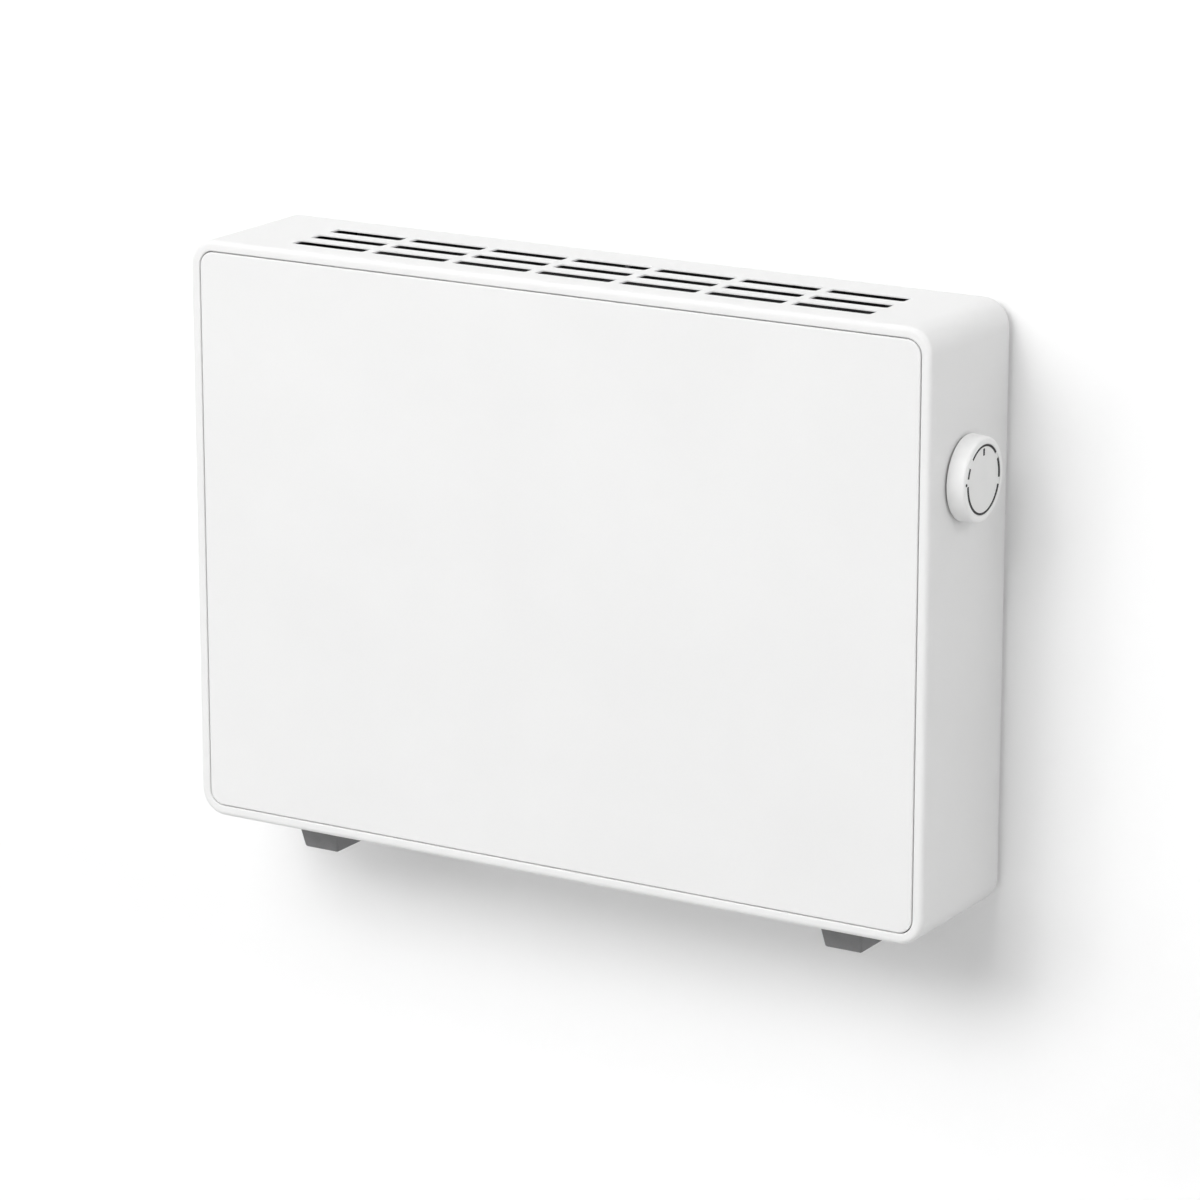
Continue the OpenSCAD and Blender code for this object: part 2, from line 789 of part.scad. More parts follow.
// One hook's side view, with its seat at the origin and the distance from the wall along X
module hook_profile() {
    notch0 = back_d - hook_play;
    notch1 = floor_d + hook_play;
    polygon([
        [0, -hook_arm_h], [notch1 + hook_tooth_t, -hook_arm_h],
        [notch1 + hook_tooth_t, hook_tooth_h - hook_chamfer], [notch1 + hook_tooth_t / 2, hook_tooth_h],
        [notch1, hook_tooth_h], [notch1, 0], [notch0, 0],
        [notch0, hook_tooth_h - hook_chamfer], [notch0 - hook_ramp, hook_tooth_h - hook_chamfer],
        [bracket_t, 0], [0, 0]]);
}

// The steel frame that is screwed to the wall, with four hooks for the heater
module wall_bracket() {
    color(zinc)
    difference() {
        union() {
            for (sx = [-1, 1])
                block(around(sx * strap_x, strap_w / 2), [0, bracket_t], around(0, strap_h / 2));
            block(around(0, strap_x), [0, bracket_t], around(0, cross_h / 2));
            for (sx = [-1, 1], seat = hook_seats)
                translate([hook_span(sx)[1], 0, seat])
                    rotate([90, 0, -90])
                        linear_extrude(bracket_t)
                            hook_profile();
        }
        for (sx = [-1, 1], sz = [-1, 1])
            at_wall(sx * strap_x, sz * screw_rise / 2, 0)
                cylinder(h = 3 * bracket_t, r = wall_hole_r, center = true);
    }
}

// Bright aluminium sheet between the element and the back panel, on two flanged webs
module heat_shield() {
    x = [shield_left_x, shield_right_x];
    color(bright)
    difference() {
        union() {
            block(x, onwards(shield_d, shield_t), [shield_low_z, shield_high_z]);
            block(x, [floor_d, shield_d + shield_t], [shield_low_z, shield_low_z + shield_t]);
            block(x, [floor_d, shield_d + shield_t], [shield_high_z - shield_t, shield_high_z]);
            block(x, onwards(floor_d, shield_t), [shield_low_z - foot_flange_w, shield_low_z + shield_t]);
            block(x, onwards(floor_d, shield_t), [shield_high_z - shield_t, shield_high_z + foot_flange_w]);
        }
        floor_screw_holes();
    }
}

// Holes for the screws that stand on the back panel
module floor_screw_holes() {
    for (p = floor_screw_places)
        at_wall(p[0], p[1], floor_d)
            screw_hole(screw_r);
}

// The wall between the hot air and the controls
module partition() {
    flange_h = half_h - 2 * rim_w;
    color(zinc)
    difference() {
        union() {
            block([partition_x, controls_x], [floor_d, partition_front_d], around(0, in_h));
            block(
                [partition_x - foot_flange_w, controls_x], onwards(floor_d, partition_t),
                around(0, flange_h));
        }
        for (z = rod_heights)
            along_x(partition_x - over, element_d, z)
                cylinder(h = partition_t + 2 * over, r = insulator_r + rod_fit);
        along_x(partition_x - over, cutout_d, cutout_z)
            cylinder(h = partition_t + 2 * over, r = cutout_r + hole_fit);
        for (s = [-1, 1])
            along_x(partition_x, cutout_d, cutout_z + s * cutout_ear)
                screw_hole(screw_r);
        floor_screw_holes();
    }
}

// Screws that hold the partition, the support, the shield and the terminal block to the back panel
module mounting_screws() {
    color(zinc)
        for (p = floor_screw_places)
            at_wall(p[0], p[1], floor_d + p[2])
                screw(screw_r, p[2] + back_t + screw_reach, screw_head_r, screw_head_h);
}

// The heating rod: a hairpin with its bend at the left
module element_rod() {
    color(rod_grey) {
        for (z = rod_heights)
            along_x(rod_left_x, element_d, z)
                cylinder(h = rod_right_x - rod_left_x, r = rod_r);
        translate([rod_left_x, -element_d, element_z])
            rotate([90, 0, 0])
                rotate([0, 0, 90])
                    rotate_extrude(angle = 180)
                        translate([rod_spacing / 2, 0])
                            circle(rod_r);
    }
}

// Thin aluminium fins pressed on the rod
module element_fins() {
    color(bright)
        for (x = [fin_first_x:fin_pitch:fin_last_x])
            along_x(x, element_d, element_z)
                linear_extrude(fin_t)
                    difference() {
                        square([fin_h, fin_d], center = true);
                        for (s = [-1, 1])
                            translate([s * rod_spacing / 2, 0])
                                circle(rod_r + rod_fit);
                    }
}

// The plate that carries the rod at its left end
module element_support() {
    span = around(element_z, rod_spacing / 2 + support_margin);
    color(zinc)
    difference() {
        union() {
            block([support_x, support_x + partition_t], [floor_d, element_d + support_margin], span);
            block([support_x - foot_flange_w, support_x + partition_t], onwards(floor_d, partition_t), span);
        }
        for (z = rod_heights)
            along_x(support_x - over, element_d, z)
                cylinder(h = partition_t + 2 * over, r = insulator_r + rod_fit);
        floor_screw_holes();
    }
}

// One insulating bush, with its collar before X = 0 and its body through a plate behind it
module insulator() {
    difference() {
        union() {
            translate([0, 0, -insulator_collar])
                cylinder(h = insulator_collar, r = insulator_collar_r);
            cylinder(h = partition_t + insulator_collar, r = insulator_r);
        }
        cylinder(h = 4 * insulator_collar + partition_t, r = rod_r + rod_fit, center = true);
    }
}

// Ceramic bushes where the rod passes the support and the partition
module element_insulators() {
    color(ceramic_white)
        for (z = rod_heights) {
            along_x(partition_x, element_d, z)
                insulator();
            along_x(support_x + partition_t, element_d, z)
                mirror([0, 0, 1])
                    insulator();
        }
}

// Pins and blades on the rod's right-hand ends
module element_terminals() {
    color(zinc)
        for (z = rod_heights) {
            along_x(rod_right_x, element_d, z)
                cylinder(h = terminal_pin_len, r = terminal_pin_r);
            block(
                onwards(rod_right_x + terminal_pin_len - over, blade_len + over),
                around(element_d, blade_w / 2), around(z, blade_t / 2));
        }
}

// The thermostat's case and the bush that reaches through the casing's side
module thermostat_body() {
    color(black_plastic)
    difference() {
        union() {
            block(
                [thermostat_x, in_w], around(knob_d, thermostat_size / 2),
                around(knob_z, thermostat_size / 2));
            along_x(in_w - over, knob_d, knob_z)
                cylinder(h = over + sheet_t + bush_proud, r = bush_r);
        }
        along_x(half_w + spindle_start - over, knob_d, knob_z)
            cylinder(h = 2 * thermostat_depth, r = spindle_r + spindle_fit);
        for (s = [-1, 1])
            along_x(in_w, knob_d, knob_z + s * thermostat_screw_spacing / 2)
                screw_hole(bolt_r, thermostat_screw_len + over);
    }
}

// The spindle that the knob turns, with a flat on its outer end
module thermostat_spindle() {
    color(brass_yellow)
        along_x(half_w, knob_d, knob_z)
            difference() {
                translate([0, 0, spindle_start])
                    cylinder(h = spindle_end - spindle_start, r = spindle_r);
                translate([flat_x, -2 * spindle_r, hub_base])
                    cube([spindle_r, 4 * spindle_r, knob_proud]);
            }
}

// The thermostat's two blade terminals
module thermostat_terminals() {
    color(brass_yellow)
        for (s = [-1, 1])
            block(
                around(thermostat_blade_x, blade_t / 2),
                around(knob_d + s * thermostat_blade_gap / 2, blade_w / 2),
                [thermostat_low_z - blade_len, thermostat_low_z]);
}

// Screws that hold the thermostat to the casing's side, under the knob
module thermostat_screws() {
    color(zinc)
        for (s = [-1, 1])
            along_x(half_w, knob_d, knob_z + s * thermostat_screw_spacing / 2)
                screw(bolt_r, sheet_t + thermostat_screw_len, bolt_head_r, bolt_head_h);
}

// Thin copper tube from the thermostat to the sensor's bulb
module capillary_tube() {
    top_z = bulb_low_z + bulb_len;
    x0 = in_w - tube_stand;
    d0 = knob_d + thermostat_size / 2 - tube_stand;
    route = [
        [x0, -d0, thermostat_low_z - end_gap],
        [x0, -d0 - 0.1 * tube_bow, thermostat_low_z - tube_lead],
        [x0 - 0.2 * tube_bow, -d0 - tube_bow, mix(thermostat_low_z, top_z, 0.25)],
        [x0 - 0.5 * tube_bow, -d0 - 1.5 * tube_bow, mix(thermostat_low_z, top_z, 0.55)],
        [mix(x0, bulb_x, 0.6), -bulb_d - 0.4 * tube_bow, mix(thermostat_low_z, top_z, 0.8)],
        [bulb_x + 0.1 * tube_bow, -bulb_d, top_z + tube_lead],
        [bulb_x, -bulb_d, top_z + end_gap]];
    color(copper_red)
        tube(route, capillary_r);
}

// The bulb that feels the temperature of the air coming in
module sensor_bulb() {
    color(copper_red)
        translate([bulb_x, -bulb_d, bulb_low_z]) {
            translate([0, 0, bulb_r])
                cylinder(h = bulb_len - 2 * bulb_r, r = bulb_r);
            for (z = [bulb_r, bulb_len - bulb_r])
                translate([0, 0, z])
                    sphere(bulb_r);
        }
}

// Two open clips that hold the bulb to the partition
module sensor_clips() {
    outer = bulb_r + snug_fit + bulb_clip_t;
    color(zinc)
        for (share = [0.25, 0.75])
            translate([0, 0, bulb_low_z + share * bulb_len - bulb_clip_w / 2])
                difference() {
                    union() {
                        translate([bulb_x, -bulb_d, 0])
                            cylinder(h = bulb_clip_w, r = outer);
                        translate([controls_x, -bulb_d - 2 * outer, 0])
                            cube([bulb_clip_t, 4 * outer, bulb_clip_w]);
                        translate([controls_x, -bulb_d - bulb_clip_t, 0])
                            cube([bulb_x - controls_x, 2 * bulb_clip_t, bulb_clip_w]);
                    }
                    translate([bulb_x, -bulb_d, -over])
                        cylinder(h = bulb_clip_w + 2 * over, r = bulb_r + snug_fit);
                    translate([bulb_x + bulb_r / 2, -bulb_d - outer, -over])
                        cube([outer, 2 * outer, bulb_clip_w + 2 * over]);
                }
}

// The disc thermostat that breaks the circuit if the air gets too hot, through the partition
module thermal_cutout() {
    color(black_plastic)
    difference() {
        union() {
            along_x(partition_x - cutout_back, cutout_d, cutout_z)
                cylinder(h = cutout_front_x - partition_x + cutout_back, r = cutout_r);
            along_x(controls_x, cutout_d, cutout_z)
                linear_extrude(cutout_flange_t)
                    stadium(2 * (cutout_ear + cutout_ear_r), 2 * cutout_ear_r);
            for (s = [-1, 1])
                block(
                    [cutout_front_x - over, cutout_front_x + blade_len], around(cutout_d, blade_w / 2),
                    around(cutout_z + s * cutout_wire_gap / 2, blade_t / 2));
        }
        for (s = [-1, 1])
            along_x(controls_x, cutout_d, cutout_z + s * cutout_ear)
                screw_hole(screw_r);
    }
}

// Screws that hold the cut-out to the partition
module cutout_screws() {
    color(zinc)
        for (s = [-1, 1])
            along_x(controls_x + cutout_flange_t, cutout_d, cutout_z + s * cutout_ear)
                screw(screw_r, cutout_flange_t + partition_t + screw_reach, screw_head_r, screw_head_h);
}

// The block where the supply's three wires are joined
module terminal_block() {
    color(light_grey)
    difference() {
        union() {
            block(
                around(controls_mid_x, block_w / 2), onwards(floor_d, block_d),
                [block_z, block_top_z]);
            block(
                around(controls_mid_x, 1.5 * screw_head_r), onwards(floor_d, block_ear_t),
                [block_z - block_ear_len, block_top_z + block_ear_len]);
        }
        for (x = pole_x) {
            translate([x, -block_wire_d, block_z - over])
                cylinder(h = block_h + 2 * over, r = block_bore_r);
            at_wall(x, block_z + block_h / 2, block_wire_d)
                cylinder(h = block_d, r = block_bore_r);
        }
        floor_screw_holes();
    }
}

// The clamping screws in the terminal block
module terminal_screws() {
    top = floor_d + block_d - over;
    tip = block_wire_d + wire_r + end_gap;
    color(brass_yellow)
        for (x = pole_x)
            at_wall(x, block_z + block_h / 2, tip)
                difference() {
                    cylinder(h = top - tip, r = block_bore_r - snug_fit);
                    translate([0, 0, top - tip])
                        cross_recess(0.7 * block_bore_r, over);
                }
}

// A six-sided block with its flats along X
module hexagon(r, h) {
    rotate([0, 0, 30])
        cylinder(h = h, r = r, $fn = 6);
}

// The gland that a supply cable comes in through, under the right-hand end
module cable_gland() {
    color(grey_plastic)
        translate([gland_x, -gland_d, -half_h])
            difference() {
                union() {
                    translate([0, 0, -gland_hex_h])
                        hexagon(gland_head_r, gland_hex_h);
                    translate([0, 0, -gland_head_h])
                        cylinder(h = gland_head_h, r = gland_collar_r);
                    cylinder(h = gland_thread_len, r = gland_thread_r);
                }
                translate([0, 0, -gland_head_h - over])
                    cylinder(h = gland_head_h + gland_thread_len + 2 * over, r = gland_bore_r);
            }
}

// The nut that holds the gland from inside
module gland_nut() {
    color(grey_plastic)
        translate([gland_x, -gland_d, sheet_t - half_h])
            difference() {
                hexagon(gland_head_r, gland_nut_h);
                translate([0, 0, -over])
                    cylinder(h = gland_nut_h + 2 * over, r = gland_thread_r + snug_fit);
            }
}

// The threaded stud on the back panel that the earth wire is joined to
module earth_stud() {
    color(brass_yellow)
        at_wall(controls_mid_x, earth_z, back_d - over)
            cylinder(h = earth_len, r = bolt_r);
}

// The nut on the earth stud
module earth_nut() {
    color(brass_yellow)
        at_wall(controls_mid_x, earth_z, floor_d + lug_t)
            difference() {
                cylinder(h = nut_h, r = nut_r, $fn = 6);
                cylinder(h = 3 * nut_h, r = bolt_r + snug_fit, center = true);
            }
}

// The flat ring terminal on the earth wire's end
module earth_lug() {
    color(zinc)
        at_wall(controls_mid_x, earth_z, floor_d)
            difference() {
                union() {
                    cylinder(h = lug_t, r = lug_r);
                    translate([-lug_r / 2, -lug_r - lug_len, 0])
                        cube([lug_r, lug_r + lug_len, lug_t]);
                }
                cylinder(h = 4 * lug_t, r = bolt_r + hole_fit, center = true);
            }
}

// Live wires: block to thermostat, thermostat to cut-out, cut-out to element
module live_wires() {
    wall_x = in_w - wire_stand;
    first_d = knob_d - thermostat_blade_gap / 2;
    second_d = knob_d + thermostat_blade_gap / 2;
    upper_z = cutout_z + cutout_wire_gap / 2;
    lower_z = cutout_z - cutout_wire_gap / 2;
    to_thermostat = [
        [pole_x[0], -block_wire_d, wire_start_z],
        [pole_x[0], -block_wire_d, block_top_z + wire_lead],
        [controls_x + 1.2 * wire_bow, -block_wire_d - 0.4 * wire_bow,
            mix(block_top_z, thermostat_tip_z, 0.35)],
        [controls_mid_x, -block_wire_d - 1.8 * wire_bow, mix(block_top_z, thermostat_tip_z, 0.7)],
        [thermostat_blade_x, -first_d, thermostat_tip_z - 1.2 * wire_lead],
        [thermostat_blade_x, -first_d, thermostat_tip_z]];
    to_cutout = [
        [thermostat_blade_x, -second_d, thermostat_tip_z],
        [thermostat_blade_x, -second_d, thermostat_tip_z - wire_lead],
        [mix(thermostat_blade_x, cutout_tip_x, 0.35), -mix(second_d, cutout_d, 0.6),
            upper_z + 0.8 * wire_lead],
        [cutout_tip_x + 0.8 * wire_bow, -cutout_d, upper_z + 0.2 * wire_bow],
        [cutout_tip_x, -cutout_d, upper_z]];
    to_element = [
        [cutout_tip_x, -cutout_d, lower_z],
        [cutout_tip_x + wire_bow, -cutout_d, lower_z - 0.1 * wire_bow],
        [wall_x - 0.4 * wire_bow, -cutout_d - 0.2 * wire_bow, lower_z - 1.2 * wire_lead],
        [wall_x, -cutout_d - 0.4 * wire_bow, mix(lower_z, rod_heights[1], 0.55)],
        [wall_x, -element_d - 0.4 * wire_bow, rod_heights[1] + 1.4 * wire_lead],
        [element_tip_x + wire_bow, -element_d, rod_heights[1] + 0.4 * wire_bow],
        [element_tip_x, -element_d, rod_heights[1]]];
    color(brown)
        for (route = [to_thermostat, to_cutout, to_element])
            tube(route, wire_r);
}

// Neutral wire from the block to the element
module neutral_wire() {
    route = [
        [pole_x[1], -block_wire_d, wire_start_z],
        [pole_x[1], -block_wire_d, block_top_z + 0.8 * wire_lead],
        [pole_x[1] + 0.6 * wire_bow, -mix(block_wire_d, element_d, 0.35),
            mix(block_top_z, rod_heights[0], 0.8)],
        [element_tip_x + 1.2 * wire_bow, -mix(block_wire_d, element_d, 0.8),
            rod_heights[0] + 0.2 * wire_bow],
        [element_tip_x + wire_bow, -element_d + 0.2 * wire_bow, rod_heights[0] + 0.1 * wire_bow],
        [element_tip_x, -element_d, rod_heights[0]]];
    color(blue)
        tube(route, wire_r);
}

// Earth wire from the block to the lug on the earth stud
module earth_wire() {
    lug_low_z = earth_z - lug_r - lug_len;
    lay_d = floor_d + wire_r + end_gap;
    route = [
        [pole_x[2], -block_wire_d, wire_start_z],
        [pole_x[2], -block_wire_d, block_top_z + 0.6 * wire_lead],
        [pole_x[2] - 0.2 * wire_bow, -mix(block_wire_d, lay_d, 0.35), mix(block_top_z, lug_low_z, 0.6)],
        [mix(pole_x[2], controls_mid_x, 0.8), -mix(block_wire_d, lay_d, 0.9), lug_low_z - 0.8 * wire_lead],
        [controls_mid_x, -lay_d, lug_low_z - 0.3 * wire_lead],
        [controls_mid_x, -lay_d, lug_low_z - end_gap]];
    color(green)
        tube(route, wire_r);
}

// A tapered foot under the casing, with deep holes for its two screws
module foot(x) {
    color(grey_plastic)
        translate([x, -foot_d, -half_h])
            difference() {
                intersection() {
                    rotate([90, 0, 0])
                        linear_extrude(2 * foot_l, center = true)
                            tapered(foot_w, foot_draft_side);
                    rotate([90, 0, 90])
                        linear_extrude(2 * foot_w, center = true)
                            tapered(foot_l, foot_draft_front);
                }
                for (s = [-1, 1])
                    translate([0, s * foot_screw_spacing / 2, 0]) {
                        screw_hole(bolt_r, foot_h + over);
                        translate([0, 0, -foot_h - over])
                            cylinder(h = foot_bore_depth + over, r = bolt_head_r + 2 * hole_fit);
                    }
            }
}

// One side of a foot: as wide as w at the top, and narrower by the draft at each side below
module tapered(w, draft) {
    polygon([[-w / 2, 0], [w / 2, 0], [w / 2 - draft, -foot_h], [-w / 2 + draft, -foot_h]]);
}

module foot_left() {
    foot(-foot_x);
}

module foot_right() {
    foot(foot_x);
}

// Screws up through the feet and the casing's bottom
module foot_screws() {
    seat = -half_h - foot_h + foot_bore_depth;
    length = foot_h - foot_bore_depth + sheet_t + nut_h + over;
    color(zinc)
        for (p = foot_screw_places)
            translate([p[0], -p[1], seat])
                rotate([180, 0, 0])
                    screw(bolt_r, length, bolt_head_r, bolt_head_h);
}

// Nuts on the foot screws, inside the casing
module foot_nuts() {
    color(zinc)
        for (p = foot_screw_places)
            translate([p[0], -p[1], sheet_t - half_h])
                difference() {
                    cylinder(h = nut_h, r = nut_r, $fn = 6);
                    cylinder(h = 3 * nut_h, r = bolt_r + snug_fit, center = true);
                }
}

// The knob's own frame: Z outwards from the casing's side, along the spindle's axis
module on_knob() {
    along_x(half_w, knob_d, knob_z)
        children();
}

// Half of the knob's outer outline, as radius and height
module knob_outline() {
    front = knob_r - knob_taper;
    polygon([
        [0, knob_gap], [knob_r, knob_gap],
        [front, knob_proud - knob_edge_r], [0, knob_proud - knob_edge_r]]);
    square([front - knob_edge_r, knob_proud]);
    translate([front - knob_edge_r, knob_proud - knob_edge_r])
        circle(knob_edge_r);
}

// The knob that is gripped: a rim, a web across it and a hub on the spindle
module knob_ring() {
    bore_r = spindle_r + spindle_fit;
    inside_r = knob_r - knob_taper - knob_wall;
    web_base = disc_back - web_t;
    color(white)
        on_knob() {
            rotate_extrude()
                difference() {
                    knob_outline();
                    square([hub_r, hub_base]);
                    translate([hub_r, 0])
                        square([inside_r - hub_r, web_base]);
                    square([inside_r, knob_gap]);
                    square([bore_r, knob_proud]);
                    translate([0, disc_back])
                        square([disc_r + disc_fit, knob_proud]);
                }
            translate([0, 0, hub_base])
                linear_extrude(disc_back - hub_base)
                    intersection() {
                        circle((bore_r + hub_r) / 2);
                        translate([flat_x + spring_t + 2 * snug_fit, -hub_r])
                            square(2 * hub_r);
                    }
        }
}

// The pale disc let into the knob's face
module knob_disc() {
    color(light_grey)
        on_knob()
            translate([0, 0, disc_back])
                cylinder(h = disc_t, r = disc_r);
}

// The pointer mark, straight up with the knob at rest
module knob_pointer() {
    color(ink)
        on_knob()
            translate([pointer_inset - disc_r, -pointer_w / 2, disc_front])
                cube([pointer_len, pointer_w, mark_t]);
}

// One scale mark along the disc's edge, between two angles and widest in its middle
module scale_mark(from, to, middle_w, end_w) {
    half = (to - from) / 2;
    shift = (middle_w - end_w) / (1 - cos(half));
    inner_r = disc_r - middle_w + shift;
    rotate([0, 0, 90 + (from + to) / 2])
        linear_extrude(mark_t)
            intersection() {
                difference() {
                    circle(disc_r);
                    translate([-shift, 0])
                        circle(inner_r);
                }
                polygon(concat([[0, 0]], [for (a = [-half, 0, half]) 2 * disc_r * [cos(a), sin(a)]]));
            }
}

// The printed scale round the disc's edge: wider marks for more heat
module knob_scale() {
    color(ink)
        on_knob()
            translate([0, 0, disc_front])
                for (m = scale_marks)
                    scale_mark(m[0], m[1], m[2] * scale_w, m[3] * scale_w);
}

// The dot beside the scale
module knob_dot() {
    color(ink)
        on_knob()
            rotate([0, 0, 90 + dot_angle])
                translate([disc_r + dot_gap + dot_r, 0, knob_proud])
                    cylinder(h = mark_t, r = dot_r);
}

// The leaf that keeps the hub tight on the spindle's flat
module knob_spring() {
    color(zinc)
        on_knob()
            translate([flat_x + snug_fit, -0.5 * spindle_r, hub_base + spring_gap])
                cube([spring_t, spindle_r, spindle_end - hub_base - 2 * spring_gap]);
}

casing();
front_panel();
front_panel_clips();
back_panel();
back_panel_screws();
wall_bracket();
heat_shield();
partition();
mounting_screws();
element_rod();
element_fins();
element_support();
element_insulators();
element_terminals();
thermostat_body();
thermostat_spindle();
thermostat_terminals();
thermostat_screws();
capillary_tube();
sensor_bulb();
sensor_clips();
thermal_cutout();
cutout_screws();
terminal_block();
terminal_screws();
cable_gland();
gland_nut();
earth_stud();
earth_nut();
earth_lug();
live_wires();
neutral_wire();
earth_wire();
foot_left();
foot_right();
foot_screws();
foot_nuts();
knob_ring();
knob_disc();
knob_pointer();
knob_scale();
knob_dot();
knob_spring();
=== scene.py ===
# Wall-hung electric panel heater: painted steel casing, flat front, side knob, grey feet
import json
from math import copysign, cos, radians, sin

import bmesh
import bpy
from mathutils import Matrix, Vector


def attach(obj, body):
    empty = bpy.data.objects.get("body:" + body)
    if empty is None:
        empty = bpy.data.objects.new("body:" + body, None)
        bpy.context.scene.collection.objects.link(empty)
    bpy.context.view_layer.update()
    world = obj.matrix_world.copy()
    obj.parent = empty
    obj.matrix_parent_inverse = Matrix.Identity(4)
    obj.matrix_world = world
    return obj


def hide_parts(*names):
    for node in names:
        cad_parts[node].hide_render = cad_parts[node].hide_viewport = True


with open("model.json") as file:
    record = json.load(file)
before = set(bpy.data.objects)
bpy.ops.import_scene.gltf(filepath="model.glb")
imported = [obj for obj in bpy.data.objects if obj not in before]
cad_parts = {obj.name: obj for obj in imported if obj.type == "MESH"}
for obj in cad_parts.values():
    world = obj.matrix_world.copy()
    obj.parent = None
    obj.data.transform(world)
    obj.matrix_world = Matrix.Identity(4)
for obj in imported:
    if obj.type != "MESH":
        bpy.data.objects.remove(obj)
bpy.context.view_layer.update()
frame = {"nodes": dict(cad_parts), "record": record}
nodes = frame["nodes"]
mm = 0.001
weld = 1e-6              # points closer than this are one point
flush = 1e-5             # a face closer than this to a plane lies in it
parallel = 0.99          # directions whose cosine is above this are one
print("frame loaded")


# Finishes: linear colours, sizes in metres, and every pattern reads Object coordinates

def addNode(tree, kind, **sockets):
    node = tree.nodes.new(kind)
    for name, value in sockets.items():
        socket = node.inputs[name]
        if isinstance(value, bpy.types.NodeSocket):
            tree.links.new(value, socket)
        else:
            socket.default_value = value
    return node


def addRamp(tree, factor, stops):
    ramp = addNode(tree, "ShaderNodeValToRGB", Fac=factor)
    for element, (position, colour) in zip(ramp.color_ramp.elements, stops):
        element.position, element.color = position, (*colour, 1)
    return ramp.outputs["Color"]


def addRange(tree, value, source, target):
    # maps the source span of a value onto the target span
    node = addNode(tree, "ShaderNodeMapRange", Value=value)
    for socket, end in zip(("From Min", "From Max", "To Min", "To Max"), (*source, *target)):
        node.inputs[socket].default_value = end
    return node


# the fine noise of the grain, the broad noise of the patches, and the crystals of the zinc
noiseValues = {
    "grainDetail": 3.0, "grainRoughness": 0.55, "grainSpan": (0.3, 0.7),
    "patchDetail": 2.0, "patchSpan": (0.35, 0.65), "spangleSpan": (0.1, 0.9)}


def makeFinish(name, ownValues):
    values = {**usualFinish, **ownValues}
    material = bpy.data.materials.new(name)
    material.use_nodes = True
    tree = material.node_tree
    surface = tree.nodes["Principled BSDF"]
    surface.inputs["Metallic"].default_value = values["metallic"]
    place = addNode(tree, "ShaderNodeTexCoord").outputs["Object"]
    grainPlace = addNode(tree, "ShaderNodeMapping", Vector=place, Scale=values["stretch"])
    grain = addNode(
        tree, "ShaderNodeTexNoise", Vector=grainPlace.outputs["Vector"], Scale=1 / values["grainSize"],
        Detail=noiseValues["grainDetail"], Roughness=noiseValues["grainRoughness"]).outputs["Fac"]
    if "spangleSize" in values:
        patch = addNode(
            tree, "ShaderNodeTexVoronoi", Vector=place,
            Scale=1 / values["spangleSize"]).outputs["Color"]
        first, last = noiseValues["spangleSpan"]
    else:
        patch = addNode(
            tree, "ShaderNodeTexNoise", Vector=place, Scale=1 / values["patchSize"],
            Detail=noiseValues["patchDetail"]).outputs["Fac"]
        first, last = noiseValues["patchSpan"]
    broad = addRamp(tree, patch, ((first, values["dark"]), (last, values["pale"])))
    low, high = noiseValues["grainSpan"]
    fine = addRamp(tree, grain, ((low, (1 - values["mottle"],) * 3), (high, (1, 1, 1))))
    colour = tree.nodes.new("ShaderNodeMix")
    colour.data_type = "RGBA"
    colour.blend_type = "MULTIPLY"
    colour.inputs[0].default_value = 1.0
    tree.links.new(broad, colour.inputs[6])      # a Mix node's colours are its sockets 6 and 7
    tree.links.new(fine, colour.inputs[7])
    tree.links.new(colour.outputs[2], surface.inputs["Base Color"])
    rough = addRange(tree, grain, (low, high), values["roughness"])
    tree.links.new(rough.outputs["Result"], surface.inputs["Roughness"])
    bump = addNode(
        tree, "ShaderNodeBump", Height=grain, Strength=values["bump"], Distance=values["depth"])
    tree.links.new(bump.outputs["Normal"], surface.inputs["Normal"])
    return material


